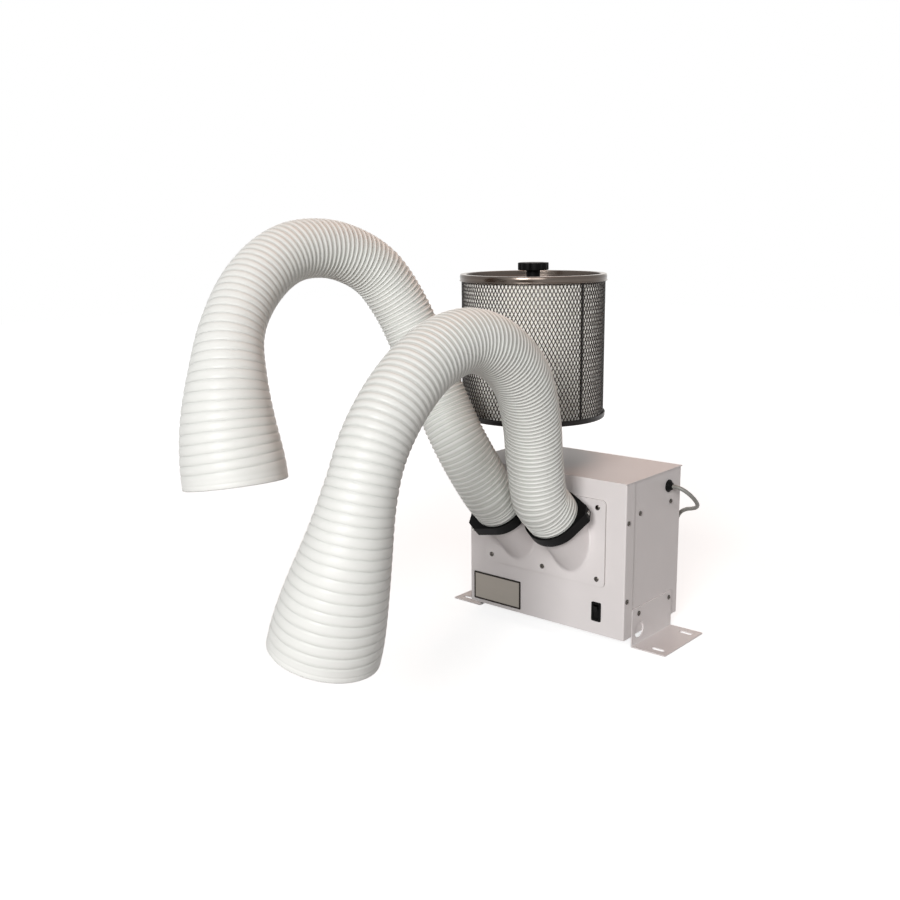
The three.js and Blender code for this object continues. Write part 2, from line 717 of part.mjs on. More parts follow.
// A ribbed hose between two ribs of its middle line, with its bore. The side vector is square to
// the plane in which the hose bends, so every ring starts from the same direction.
function ribbedHose(curve, sideways, firstRib, lastRib) {
  const length = curve.getLength();
  const swell = (distance) => (
    (mouthRadius - hoseRadius) * THREE.MathUtils.smoothstep(distance, length - flareLength, length)
  );
  const ring = (distance, radius) => {
    const share = Math.min(distance / length, 1);
    const centre = curve.getPointAt(share);
    const along = curve.getTangentAt(share);
    const normal = new THREE.Vector3().crossVectors(along, sideways).normalize();
    const across = new THREE.Vector3().crossVectors(normal, along);
    return Array.from({ length: ringPoints }, (_, i) => {
      const angle = (2 * Math.PI * (i + 0.5)) / ringPoints;
      return centre.clone().addScaledVector(across, radius * ringFacet * Math.cos(angle))
        .addScaledVector(normal, radius * ringFacet * Math.sin(angle));
    });
  };
  const from = firstRib * ribPitch + seat;
  const to = Math.min(lastRib * ribPitch, length);
  const pitch = (to - from) / (lastRib - firstRib);
  const outer = [];
  const inner = [];
  for (let rib = 0; rib < lastRib - firstRib; rib += 1) {
    const groove = from + rib * pitch;
    const crest = groove + pitch / 2;
    outer.push(ring(groove, hoseRadius - ribHeight + swell(groove)), ring(crest, hoseRadius + swell(crest)));
    if (rib % ribsPerBoreRing === 0) inner.push(ring(groove, hoseBore + swell(groove)));
  }
  outer.push(ring(to, hoseRadius - ribHeight + swell(to)));
  inner.push(ring(to, hoseBore + swell(to)));
  return ringsBetween(outer, inner);
}

// A closed wall between an outer and an inner row of rings.
function ringsBetween(outer, inner) {
  const rows = [...outer, ...inner.slice().reverse(), outer[0]];
  const positions = rows.slice(0, -1).flat().flatMap((point) => point.toArray());
  const index = [];
  const rings = rows.length - 1;
  for (let row = 0; row < rings; row += 1) {
    const next = (row + 1) % rings;
    for (let i = 0; i < ringPoints; i += 1) {
      const j = (i + 1) % ringPoints;
      const a = row * ringPoints;
      const b = next * ringPoints;
      index.push(a + i, a + j, b + j, a + i, b + j, b + i);
    }
  }
  const geometry = new THREE.BufferGeometry();
  geometry.setAttribute('position', new THREE.Float32BufferAttribute(positions, 3));
  geometry.setIndex(index);
  return geometry;
}

function collar(lugAngle) {
  const hoseSeat = (hoseRadius * ringFacet + run) / Math.cos(Math.PI / spigotSides);
  const outer = hoseSeat + collarWall;
  const grip = (spigotRadius + run) / Math.cos(Math.PI / spigotSides);
  const ring = turned([
    [grip, collarStart], [outer, collarStart], [outer, collarEnd], [hoseSeat, collarEnd],
    [hoseSeat, collarShoulder], [grip, collarShoulder], [grip, collarStart],
  ], spigotSides);
  const middle = (collarStart + collarEnd) / 2;
  const lug = box(hoseSeat + collarWall / 2, outer + lugReach, -lugWidth / 2, lugWidth / 2,
    middle - lugLength / 2, middle + lugLength / 2);
  const screwX = outer + lugReach / 2;
  const screwHole = rod(clampScrewRadius + run, -lugWidth, lugWidth, screwSides).rotateX(Math.PI / 2);
  screwHole.translate(screwX, 0, middle);
  const turn = THREE.MathUtils.degToRad(lugAngle);
  const body = cut(join(ring, lug), screwHole).rotateZ(turn);
  const clampScrew = turned([
    [0, -lugWidth / 2], [clampScrewRadius, -lugWidth / 2], [clampScrewRadius, lugWidth / 2 + seat],
    [clampScrewHead, lugWidth / 2 + seat], [clampScrewHead, lugWidth / 2 + seat + clampScrewStand],
    [0, lugWidth / 2 + seat + clampScrewStand],
  ], screwSides).rotateX(Math.PI / 2).translate(screwX, 0, middle).rotateZ(turn);
  return { body, clampScrew };
}

function arm(name, side, route, lugAngle) {
  const group = new THREE.Group();
  const foot = spigotFoot(side);
  const end = new THREE.Group();
  end.position.copy(foot);
  end.rotation.x = Math.PI / 2 - spigotTilt;
  const { body, clampScrew } = collar(lugAngle);
  end.add(piece(`collar_${name}`, body, blackPlastic), piece(`collar_screw_${name}`, clampScrew, zinc));
  group.add(end);

  const curve = hoseCurve(side, route);
  const mouth = curve.getPointAt(1);
  const reach = new THREE.Vector3(mouth.x - foot.x, mouth.y - foot.y, 0).normalize();
  const sideways = new THREE.Vector3(-reach.y, reach.x, 0);
  const ribs = Math.round(curve.getLength() / ribPitch);
  const stops = [0, lowerRibs, lowerRibs + bendRibs, ribs - bellRibs - wristRibs, ribs - bellRibs, ribs];
  ['lower', 'bend', 'arch', 'wrist', 'bell'].forEach((part, i) => {
    const hose = ribbedHose(curve, sideways, stops[i], stops[i + 1]);
    group.add(piece(`hose_${name}_${part}`, hose, vinyl));
  });
  const midway = (i) => curve.getPointAt(((stops[i] + stops[i + 1]) / 2) * (ribPitch / curve.getLength()));
  const written = (point) => point.toArray().map((value) => value.toFixed(3)).join(', ');
  console.log(`${name} hose ${curve.getLength().toFixed(0)} mm, ${ribs} ribs`);
  console.log(`  bends at ${written(midway(1))}, tilts at ${written(midway(3))}, about ${written(sideways)}`);
  return group;
}

// A tube of equal sides along a curve, with flat ends.
function tubeAlong(curve, radius, sides, steps) {
  const section = new THREE.Shape(Array.from({ length: sides }, (_, i) => {
    const angle = (2 * Math.PI * i) / sides;
    return new THREE.Vector2(radius * Math.cos(angle), radius * Math.sin(angle));
  }));
  return new THREE.ExtrudeGeometry(section, { steps, bevelEnabled: false, extrudePath: curve });
}

// The coil: one layer spirals in, climbs a layer in half a turn, and spirals out again on top.
// Its tail then runs straight on towards +X, to the plug.
const coilTurns = 2 * layerTurns + climbTurns;
const coilLow = cordDiameter / 2 + cordLift;
const coilHigh = coilLow + layerPitch;
const coilMean = coilOuter - (coilPitch * layerTurns) / 2;
const tailShare = tailLength / (tailLength + 2 * Math.PI * coilTurns * coilMean);

class CoilCurve extends THREE.Curve {
  getPoint(share, target = new THREE.Vector3()) {
    const turns = Math.min(share / (1 - tailShare), 1) * coilTurns;
    const tail = Math.max(share - 1 + tailShare, 0) / tailShare;
    const inward = Math.min(turns, layerTurns);
    const outward = Math.max(turns - layerTurns - climbTurns, 0);
    const climb = THREE.MathUtils.smoothstep(turns, layerTurns, layerTurns + climbTurns);
    const rise = THREE.MathUtils.smoothstep(tail, 0, 1);
    const radius = coilOuter - coilPitch * (inward - outward);
    const angle = -Math.PI / 2 - 2 * Math.PI * turns;
    return target.set(
      coilX + radius * Math.cos(angle) + tailLength * tail,
      coilY + radius * Math.sin(angle),
      coilLow + layerPitch * climb + (plugRadius - coilHigh) * rise,
    );
  }
}

// The least gap of a tube to itself, measured between points a loop apart or more along it.
function leastGap(curve, diameter, count, apart) {
  const points = curve.getSpacedPoints(count);
  const step = curve.getLength() / count;
  const skip = Math.ceil(apart / step);
  let least = Infinity;
  for (let i = 0; i < count; i += 1) {
    for (let j = i + skip; j <= count; j += 1) least = Math.min(least, points[i].distanceTo(points[j]));
  }
  return least - diameter;
}

function powerCord() {
  const group = new THREE.Group();
  const wall = chassisHalf;
  const glandBody = turned([
    [0, -glandInside], [glandNeckRadius, -glandInside], [glandNeckRadius, seat], [glandRadius, seat],
    [glandRadius, seat + glandFlangeThick], [glandTipRadius, glandOutside], [0, glandOutside],
  ], spigotSides);
  const gland = aim(glandBody, new THREE.Vector3(wall, glandY, glandZ), xRight);
  group.add(piece('cord_gland', gland, blackPlastic));

  const coil = new CoilCurve();
  coil.arcLengthDivisions = curveDivisions;
  const coilStart = coil.getPoint(0);
  const coilEnd = coil.getPoint(1);
  const exit = new THREE.Vector3(wall + glandOutside + seat, glandY, glandZ);
  const lead = new THREE.CatmullRomCurve3([
    exit,
    ...cordRoute.map(([x, y, share]) => new THREE.Vector3(x, y, coilLow + share * (glandZ - coilLow))),
    coilStart.clone().addScaledVector(xRight, seat),
  ], false, 'centripetal');
  lead.arcLengthDivisions = curveDivisions;
  group.add(piece('power_cord', tubeAlong(lead, cordDiameter / 2, cordSides, cordSteps), cable));
  const loops = Math.ceil(coilTurns * loopSteps);
  group.add(piece('cord_coil', tubeAlong(coil, cordDiameter / 2, loopSides, loops), cable));
  const gap = leastGap(coil, cordDiameter, loops * loopSides, Math.PI * coilOuter);
  console.log(`coil ${coil.getLength().toFixed(0)} mm, least gap ${gap.toFixed(2)} mm`);
  console.log(`cord ${(lead.getLength() + coil.getLength()).toFixed(0)} mm`);

  const plug = new THREE.Group();
  plug.position.set(coilEnd.x + seat, coilEnd.y, coilEnd.z);
  plug.rotation.y = Math.PI / 2;
  const nose = plugSleeve + plugLength;
  const body = turned([
    [0, 0], [plugSleeveRadius, 0], [plugSleeveFlare, plugSleeve],
    [plugRadius, plugSleeve + plugLength / 4], [plugRadius, nose], [0, nose],
  ], spigotSides / 2);
  const [thick, wide, long] = plugBlade;
  const rooted = nose - thick;
  const blade = (y) => box(-wide, 0, y - thick / 2, y + thick / 2, rooted, nose + long);
  const pin = rod(groundPinRadius, rooted, nose + long, screwSides).translate(groundPinDrop, 0, 0);
  plug.add(piece('plug', join(body, blade(-bladeSpacing / 2), blade(bladeSpacing / 2), pin), blackPlastic));
  group.add(plug);

  // A tie stands over all the turns on the side away from the plug.
  const spare = cordDiameter / 2 + 2 * seat;
  const x0 = coilOuter - coilPitch * layerTurns - spare;
  const x1 = coilOuter + spare;
  const over = coilHigh + spare;
  const tie = cut(
    box(x0 - tieThick, x1 + tieThick, -tieWidth / 2, tieWidth / 2, cordLift, over + tieThick),
    box(x0, x1, -tieWidth, tieWidth, -overcut, over),
  );
  tie.rotateZ(Math.PI).translate(coilX, coilY, 0);
  group.add(piece('cord_tie', tie, blackPlastic));
  return group;
}

const extractor = new THREE.Group();
extractor.add(
  cabinet(),
  rockerSwitch(),
  blower(),
  filterUnit(),
  arm('right', 1, routeRight, lugAngleRight),
  arm('left', -1, routeLeft, lugAngleLeft),
  powerCord(),
);
export default extractor;
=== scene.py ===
"""Dresses the bench-top fume extractor: painted sheet steel, ribbed vinyl hose arms, filter, cord and stage.

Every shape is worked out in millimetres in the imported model's frame: +Z up, front towards -Y, bench at 0.
"""

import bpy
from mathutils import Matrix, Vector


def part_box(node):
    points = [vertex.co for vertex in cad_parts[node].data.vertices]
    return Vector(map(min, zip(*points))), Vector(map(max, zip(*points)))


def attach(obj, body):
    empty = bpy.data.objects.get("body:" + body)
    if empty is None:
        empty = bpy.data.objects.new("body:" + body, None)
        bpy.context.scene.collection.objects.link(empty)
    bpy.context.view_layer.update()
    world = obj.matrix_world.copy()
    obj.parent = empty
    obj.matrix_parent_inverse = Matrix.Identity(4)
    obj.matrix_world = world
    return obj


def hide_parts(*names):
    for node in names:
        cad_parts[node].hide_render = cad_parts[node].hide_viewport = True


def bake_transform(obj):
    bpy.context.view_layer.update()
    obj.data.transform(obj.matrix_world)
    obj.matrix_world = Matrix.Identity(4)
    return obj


bl_info = {
    "name": "Bench fume extractor",
    "version": (1, 0, 0),
    "blender": (4, 5, 0),
    "location": "View3D > Sidebar > Extractor",
    "description": "Builds the visible surfaces of a twin-arm bench fume extractor on its packed frame",
    "category": "Object",
}

import bpy
import numpy as np
from bpy.props import FloatProperty, FloatVectorProperty, IntProperty, PointerProperty
from mathutils import Matrix
from mathutils.geometry import delaunay_2d_cdt

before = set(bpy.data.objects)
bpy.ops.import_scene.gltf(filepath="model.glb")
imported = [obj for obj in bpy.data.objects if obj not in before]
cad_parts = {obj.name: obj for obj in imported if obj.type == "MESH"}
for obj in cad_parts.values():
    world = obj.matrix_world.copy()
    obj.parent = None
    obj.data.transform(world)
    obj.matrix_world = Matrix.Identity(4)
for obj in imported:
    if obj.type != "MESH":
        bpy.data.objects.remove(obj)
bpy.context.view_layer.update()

MM = 0.001
X, Y, Z = np.eye(3)


def linear(code):
    """The linear colour of an sRGB hex code, by the sRGB curve."""
    value = np.array([int(code[i : i + 2], 16) for i in (1, 3, 5)]) / 255
    return tuple(np.where(value <= 0.04045, value / 12.92, ((value + 0.055) / 1.055) ** 2.4))


def span(node):
    """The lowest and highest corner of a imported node, in millimetres."""
    low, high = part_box(node)
    return np.array(low) / MM, np.array(high) / MM


def colour(name, code, words):
    """A colour setting whose default is an sRGB hex code."""
    return FloatVectorProperty(
        name=name, description=words, subtype="COLOR", size=3, min=0, max=1, default=linear(code)
    )


def size(name, value, words):
    """A length setting, given in millimetres and held in metres."""
    return FloatProperty(name=name, description=words, unit="LENGTH", min=0, default=value * MM)


class ExtractorColours(bpy.types.PropertyGroup):
    """Colours of the finishes."""

    paint: colour("Powder coat", "#e6e1e0", "Cabinet, brackets and spigots")
    vinyl: colour("Vinyl", "#f4f5f1", "Crests of the hoses")
    # Painted shade: this grey is mixed into the bands between the hose ribs in place of the shade that falls
    # there
    vinyl_valley_shade: colour("Vinyl valley", "#e0e3dd", "Between the ribs of the hoses")
    plastic: colour("Black plastic", "#0b0b0b", "Collars, knob, switch and gland")
    # Painted dark reflection: the strands' near-black stands in for the dark surroundings the metal reflects
    strand: colour("Expanded steel", "#2b2420", "Strands of the filter's outer screen")
    paper: colour("Filter paper", "#f6f4ee", "Pleated filter paper")
    jacket: colour("Cord jacket", "#82827d", "Power cord")


class ExtractorSizes(bpy.types.PropertyGroup):
    """Sizes of the surface forms."""

    fold: size("Fold radius", 2.2, "Outer radius of the cabinet's folded edges")
    edge: size("Edge round", 0.45, "Rounding of cut sheet edges")
    rib: size("Rib height", 1.3, "How far a hose rib stands above the band beside it")
    pitch_near: size("Rib pitch at the collar", 7.4, "Distance between ribs where the hose starts")
    pitch_far: size("Rib pitch at the mouth", 12.0, "Distance between ribs at the flared mouth")
    around: IntProperty(name="Hose sides", description="Points round a hose", default=80, min=16)
    columns: IntProperty(name="Screen columns", description="Diamonds round the filter", default=118, min=8)
    pleats: IntProperty(name="Pleats", description="Pleats of the filter paper", default=100, min=8)


def colours():
    """The colour settings of the scene."""
    return bpy.context.scene.extractor_colours


def sizes():
    """The size settings of the scene."""
    return bpy.context.scene.extractor_sizes


# Meshes


def turns(sides):
    """Angles spaced evenly round a full turn."""
    return np.linspace(0, 2 * np.pi, sides, endpoint=False)


def stacked(*axes):
    """Points from one array for each axis, all spread to the same shape."""
    return np.stack(np.broadcast_arrays(*axes), -1)


def polar(radius, angle, height):
    """Points about Z: radius times cosine, radius times sine, and height."""
    return stacked(radius * np.cos(angle), radius * np.sin(angle), height)


def quads(rows, cols, wrap_rows=False, wrap_cols=True):
    """Faces of a grid of points: each cell joins a point to its right, upper right and upper neighbour."""
    r = np.arange(rows if wrap_rows else rows - 1)[:, None]
    c = np.arange(cols if wrap_cols else cols - 1)[None]
    r1, c1 = (r + 1) % rows, (c + 1) % cols
    return stacked(r * cols + c, r * cols + c1, r1 * cols + c1, r1 * cols + c).reshape(-1, 4)


def joined(*shapes):
    """Several shapes of points and faces as one, with each one's faces counted on from the last."""
    starts = np.cumsum([0] + [len(points) for points, _ in shapes[:-1]])
    points = np.concatenate([points for points, _ in shapes])
    return points, [face + start for (_, faces), start in zip(shapes, starts) for face in faces]


def capped(rings):
    """A solid through a stack of rings, an array of rows, places and axes, with flat ends."""
    rows, cols = rings.shape[:2]
    ring = np.arange(cols)
    return rings.reshape(-1, 3), [quads(rows, cols), ring[::-1][None], (rows - 1) * cols + ring[None]]


def hoop(rings):
    """A solid whose stack of rings closes on itself, so it has a hole through it."""
    rows, cols = rings.shape[:2]
    return rings.reshape(-1, 3), [quads(rows, cols, wrap_rows=True)]


def turned(profile, sides):
    """Rings of a profile of radius and height turned about Z."""
    profile = np.asarray(profile, float)
    return polar(profile[:, :1], turns(sides), profile[:, 1:])


def rounded(corners, radius, steps=4):
    """A closed outline: each corner is a quadratic curve between points one radius along its two edges."""
    p = np.asarray(corners, float)
    back, ahead = np.roll(p, 1, 0) - p, np.roll(p, -1, 0) - p
    behind = np.linalg.norm(back, axis=1, keepdims=True)
    before = np.linalg.norm(ahead, axis=1, keepdims=True)
    reach = np.minimum(radius, 0.49 * np.minimum(behind, before))
    a, b = p + back / behind * reach, p + ahead / before * reach
    t = np.linspace(0, 1, steps + 1)[None, :, None]
    curve = (1 - t) ** 2 * a[:, None] + 2 * t * (1 - t) * p[:, None] + t**2 * b[:, None]
    return curve.reshape(-1, p.shape[1])


def rectangle(x0, x1, y0, y1):
    """Corners of a rectangle, counted leftwards round it."""
    return [[x0, y0], [x1, y0], [x1, y1], [x0, y1]]


def filled(outline, holes, lines):
    """Flat triangles inside an outline and outside its holes: a Delaunay net on all the loops' edges and on
    lines between points of the outline, of which the triangles are kept whose middle lies inside an odd
    number of loops."""
    loops = [np.asarray(loop, float) for loop in (outline, *holes)]
    edges = []
    for loop in loops:
        place = len(edges) + np.arange(len(loop))
        edges += np.stack([place, np.roll(place, -1)], -1).tolist()
    corners = np.concatenate(loops).tolist()
    points, _, faces, *_ = delaunay_2d_cdt(corners, [*edges, *lines], [], 0, 1e-6, False)
    points, faces = np.array([tuple(p) for p in points]), np.array(faces)
    x, y = points[faces].mean(1).T[..., None]
    inside = np.zeros(len(faces), int)
    for loop in loops:
        (ax, ay), (bx, by) = loop.T, np.roll(loop, -1, 0).T
        over = (ay > y) != (by > y)
        with np.errstate(divide="ignore", invalid="ignore"):
            inside += (over & (x < ax + (y - ay) * (bx - ax) / (by - ay))).sum(1)
    return points, faces[inside % 2 == 1]


def plate(outline, z0, z1, edge):
    """A flat piece: its outline at six heights, drawn in by the edge round at the top and the bottom."""
    outline = np.asarray(outline, float)
    ahead = np.roll(outline, -1, 0) - np.roll(outline, 1, 0)
    inward = np.stack([-ahead[:, 1], ahead[:, 0]], -1) / np.linalg.norm(ahead, axis=1, keepdims=True)
    draw = edge * np.array([1, 0.3, 0, 0, 0.3, 1])
    height = np.array([z0, z0 + 0.3 * edge, z0 + edge, z1 - edge, z1 - 0.3 * edge, z1])
    flat = outline + draw[:, None, None] * inward
    return capped(np.concatenate([flat, np.broadcast_to(height[:, None, None], (*flat.shape[:2], 1))], -1))


def front_plate(low, high, corner, steps, edge):
    """A flat piece with round corners that fills a box and faces the front."""
    outline = rounded(rectangle(low[0], high[0], low[2], high[2]), corner, steps)
    points, faces = plate(outline, -high[1], -low[1], edge)
    return points[:, [0, 2, 1]] * [1, -1, 1], faces


def seated(shape, origin, x, y, z):
    """A shape moved to an origin, with its own axes along three directions."""
    points, faces = shape
    return np.asarray(origin, float) + points @ np.stack([x, y, z]).astype(float), faces


def mirrored(shape):
    """A shape on the other side of the middle plane: X changes sign and every face turns round."""
    points, faces = shape
    return points * [-1, 1, 1], [face[:, ::-1] for face in faces]


def levelled(made):
    """Keeps flat faces flat to the eye beside their rounded edges."""
    made.modifiers.new("Level faces", "WEIGHTED_NORMAL").keep_sharp = True


def piece(name, shape, material, *nodes, body="cabinet", crease=38, marks=None, ride=True):
    """An object from points in millimetres and arrays of faces, smooth except at edges past the crease.

    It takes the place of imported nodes, has its material's slot and rides on a body."""
    points, faces = shape
    mesh = bpy.data.meshes.new(name)
    corners = np.concatenate([face.ravel() for face in faces]).astype(np.int32)
    counts = np.concatenate([np.full(len(face), face.shape[1]) for face in faces])
    mesh.vertices.add(len(points))
    mesh.vertices.foreach_set("co", (points * MM).astype(np.float32).ravel())
    mesh.loops.add(len(corners))
    mesh.loops.foreach_set("vertex_index", corners)
    mesh.polygons.add(len(counts))
    mesh.polygons.foreach_set("loop_start", np.concatenate([[0], np.cumsum(counts)[:-1]]).astype(np.int32))
    for mark, value in (marks or {}).items():
        attribute = mesh.attributes.new(mark, "FLOAT", "POINT")
        attribute.data.foreach_set("value", np.asarray(value, np.float32).ravel())
    mesh.update(calc_edges=True)
    mesh.validate()
    mesh.shade_smooth()
    mesh.set_sharp_from_angle(angle=np.radians(crease))
    mesh.materials.append(material)
    made = bpy.data.objects.new(name, mesh)
    bpy.context.scene.collection.objects.link(made)
    if any(face.shape[1] > 4 for face in faces):
        levelled(made)
    if nodes:
        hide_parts(*nodes)
    if ride:
        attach(made, body)
    return made


def sheet_metal(made, thickness):
    """Gives a surface its sheet thickness behind its faces, and rounds the cut edges."""
    wall = made.modifiers.new("Sheet thickness", "SOLIDIFY")
    wall.thickness = thickness * MM
    wall.offset = -1
    rounding = made.modifiers.new("Cut edge", "BEVEL")
    rounding.width = sizes().edge
    rounding.segments = 2
    rounding.limit_method = "ANGLE"
    rounding.angle_limit = np.radians(50)
    levelled(made)


# Materials

# Millimetres over which a finish drifts in colour and in roughness
CLOUD, SMEAR = 40, 15


def add(tree, kind, inputs=None, **settings):
    """A node with its settings; an input is a value, or another node's socket to link."""
    node = tree.nodes.new(kind)
    for name, value in settings.items():
        setattr(node, name, value)
    for name, value in (inputs or {}).items():
        if isinstance(value, bpy.types.NodeSocket):
            tree.links.new(value, node.inputs[name])
        else:
            node.inputs[name].default_value = value
    return node


def per_metre(spacing):
    """A pattern's scale from the real distance between its features, in millimetres."""
    return 1 / (spacing * MM)


def empty_tree(owner):
    """The cleared node tree of a material or a world."""
    owner.use_nodes = True
    owner.node_tree.nodes.clear()
    return owner.node_tree


def finish(
    name, base, roughness, metallic=0.0, specular=0.5, grain=1.0, bump=0.1, depth=0.05, mottle=0.04, wear=0.06
):
    """A surface whose colour, roughness and height vary a little with noise in object space. It is made on
    first use.

    grain is the size of the surface texture and depth its height, both in millimetres; mottle is how much
    the colour changes over a cloud's size, and wear how much the roughness changes over a smear's."""
    if name in bpy.data.materials:
        return bpy.data.materials[name]
    material = bpy.data.materials.new(name)
    tree = empty_tree(material)
    place = add(tree, "ShaderNodeTexCoord").outputs["Object"]
    cloud, smear, texture = (
        add(tree, "ShaderNodeTexNoise", {"Vector": place, "Scale": per_metre(spacing), "Detail": detail})
        for spacing, detail in ((CLOUD, 3.0), (SMEAR, 4.0), (grain, 2.0))
    )
    dark, light = ((*np.clip(np.array(base) * (1 + sign * mottle), 0, 1), 1) for sign in (-1, 1))
    shades = {"Factor": cloud.outputs["Fac"], "A": dark, "B": light}
    tint = add(tree, "ShaderNodeMix", shades, data_type="RGBA")
    limits = {"To Min": roughness - wear, "To Max": roughness + wear}
    gloss = add(tree, "ShaderNodeMapRange", {"Value": smear.outputs["Fac"], **limits})
    relief = {"Strength": bump, "Distance": depth * MM}
    height = add(tree, "ShaderNodeBump", {"Height": texture.outputs["Fac"], **relief})
    look = {
        "Base Color": tint.outputs["Result"],
        "Roughness": gloss.outputs["Result"],
        "Metallic": metallic,
        "Specular IOR Level": specular,
        "Normal": height.outputs["Normal"],
    }
    surface = add(tree, "ShaderNodeBsdfPrincipled", look)
    add(tree, "ShaderNodeOutputMaterial", {"Surface": surface.outputs["BSDF"]})
    return material


def powder_coat():
    """Powder-coated steel: a semi-gloss off-white skin with the fine orange peel of melted powder.
    The peel is about 1.5 mm across and is drawn at 2 mm so that it shows."""
    look = {"specular": 0.25, "grain": 2.0, "bump": 0.25, "depth": 0.08, "mottle": 0.025}
    return finish("powder-coated steel", colours().paint, 0.42, **look)


def zinc():
    """Zinc-plated steel: bright, slightly uneven metal with a fine plating grain."""
    return finish("zinc-plated steel", linear("#8f8d89"), 0.24, 1.0, grain=1.2, bump=0.12, mottle=0.08)


def reflection_darkened():
    """Steel of the screw heads: smooth metal whose dark grey is painted dark reflection, with a small bright
    highlight.
    """
    return finish("passivated steel", linear("#57534f"), 0.18, 1.0, grain=1.2, bump=0.12, mottle=0.08)


def galvanised():
    """Galvanised sheet: dull grey metal with spangles about 12 mm across."""
    look = {"grain": 12, "bump": 0.15, "mottle": 0.12, "wear": 0.1}
    return finish("galvanised steel", linear("#9a9da0"), 0.42, 1.0, **look)


def rolled_steel_dark_reflection():
    """Rolled tin-plated steel of the filter's top cap: smooth warm grey metal whose dark tone is a painted
    reflection of dark surroundings, softly lit.
    """
    return finish("tin-plated steel", linear("#5f5751"), 0.24, 1.0, grain=6, bump=0.08, mottle=0.06)


def dark_enamel():
    """Dark stoving enamel: near-black semi-gloss paint on steel."""
    look = {"specular": 0.2, "grain": 1.5, "bump": 0.15, "mottle": 0.08}
    return finish("dark stoving enamel", linear("#1e1b1a"), 0.34, **look)


def moulded_plastic():
    """Moulded black nylon: satin, with a fine spark-eroded texture of about 0.7 mm."""
    look = {"specular": 0.08, "grain": 0.7, "bump": 0.3, "depth": 0.04, "mottle": 0.15}
    return finish("moulded black nylon", colours().plastic, 0.5, **look)


def jacket():
    """Extruded PVC cord jacket: mid grey with a dull sheen."""
    return finish("extruded PVC jacket", colours().jacket, 0.4, grain=1.0, bump=0.12, mottle=0.06)


def foam_rubber():
    """Closed-cell foam rubber: matt pale grey with open skin pores of about 1 mm."""
    look = {"grain": 1.0, "bump": 0.6, "depth": 0.2, "mottle": 0.1}
    return finish("closed-cell foam rubber", linear("#b4afac"), 0.85, **look)


def solid_rubber():
    """Moulded solid rubber: matt, near black, with a slight bloom."""
    return finish("moulded rubber", linear("#242322"), 0.7, grain=1.5, bump=0.2, mottle=0.15)


def filter_paper():
    """Pleated filter paper: matt white fibre with a faint cloudy formation."""
    return finish("pleated filter paper", colours().paper, 0.9, grain=1.4, bump=0.3, depth=0.1, mottle=0.03)


def expanded_steel():
    """Expanded steel mesh: dull metal strands whose near-black is painted dark reflection, lit up only where
    they face the lamp.
    """
    look = {"grain": 2.5, "bump": 0.15, "mottle": 0.15, "wear": 0.1}
    return finish("expanded galvanised steel", colours().strand, 0.3, 1.0, **look)


def drawn_aluminium():
    """Drawn and cast aluminium of the motor's cap and the capacitor: pale, softly glossy metal."""
    return finish("drawn aluminium", linear("#b8babc"), 0.35, 1.0, grain=3, mottle=0.05)


def vinyl():
    """Extruded flexible vinyl: glossy cream-white crests, with painted shade greying the bands between the
    ribs.

    The mark "crest" is 1 on a rib and 0 between ribs, where the painted valley shade is mixed in, and "shade"
    is 1 in the painted shade line under each rib."""
    material = finish("flexible vinyl", colours().vinyl, 0.42, specular=0.3, grain=3, depth=0.1, mottle=0.02)
    tree = material.node_tree
    surface = tree.nodes["Principled BSDF"]
    tint = surface.inputs["Base Color"].links[0].from_socket
    # The valley colour is painted shade between the ribs, and the grey line colour is painted shade under
    # each rib
    layers = (("crest", colours().vinyl_valley_shade, False), ("shade", linear("#9c9d99"), True))
    for mark, shade, marked in layers:
        share = add(tree, "ShaderNodeAttribute", attribute_name=mark).outputs["Fac"]
        ends = (tint, (*shade, 1)) if marked else ((*shade, 1), tint)
        mixed = {"Factor": share, "A": ends[0], "B": ends[1]}
        tint = add(tree, "ShaderNodeMix", mixed, data_type="RGBA").outputs["Result"]
    tree.links.new(tint, surface.inputs["Base Color"])
    surface.inputs["Coat Weight"].default_value = 0.06
    surface.inputs["Coat Roughness"].default_value = 0.2
    return material


def brushed_plate(low, high):
    """Brushed aluminium nameplate: streaks about 0.4 mm apart along X, drawn at 0.8 mm so that they show,
    inside a dark printed border 3 mm wide. The border is where the nearest edge is under 3 mm away."""
    streak_spacing, border_width = 0.8, 3.0
    look = {"grain": 2, "bump": 0.05, "mottle": 0.05}
    material = finish("brushed aluminium nameplate", linear("#8b867f"), 0.36, 1.0, **look)
    tree = material.node_tree
    surface = tree.nodes["Principled BSDF"]
    tint = surface.inputs["Base Color"].links[0].from_socket
    place = tree.nodes["Texture Coordinate"].outputs["Object"]
    stretch = add(tree, "ShaderNodeMapping", {"Vector": place, "Scale": (0.02, 1, 1)}).outputs["Vector"]
    lines = {"Vector": stretch, "Scale": per_metre(streak_spacing), "Detail": 2.0}
    streak = add(tree, "ShaderNodeTexNoise", lines).outputs["Fac"]
    gloss = add(tree, "ShaderNodeMapRange", {"Value": streak, "To Min": 0.25, "To Max": 0.5})
    tree.links.new(gloss.outputs["Result"], surface.inputs["Roughness"])
    middle, half = (low + high) / 2 * MM, (high - low) / 2 * MM
    off = add(tree, "ShaderNodeVectorMath", {0: place, 1: middle}, operation="SUBTRACT").outputs[0]
    away = add(tree, "ShaderNodeVectorMath", {0: off}, operation="ABSOLUTE").outputs[0]
    inset = add(tree, "ShaderNodeVectorMath", {0: half, 1: away}, operation="SUBTRACT").outputs[0]
    axes = add(tree, "ShaderNodeSeparateXYZ", {"Vector": inset}).outputs
    nearest = add(tree, "ShaderNodeMath", {0: axes["X"], 1: axes["Z"]}, operation="MINIMUM").outputs[0]
    border = add(tree, "ShaderNodeMath", {0: nearest, 1: border_width * MM}, operation="LESS_THAN").outputs[0]
    inks = {"Factor": border, "A": tint, "B": (*linear("#2b2725"), 1)}
    printed = add(tree, "ShaderNodeMix", inks, data_type="RGBA")
    tree.links.new(printed.outputs["Result"], surface.inputs["Base Color"])
    return material


# Curves


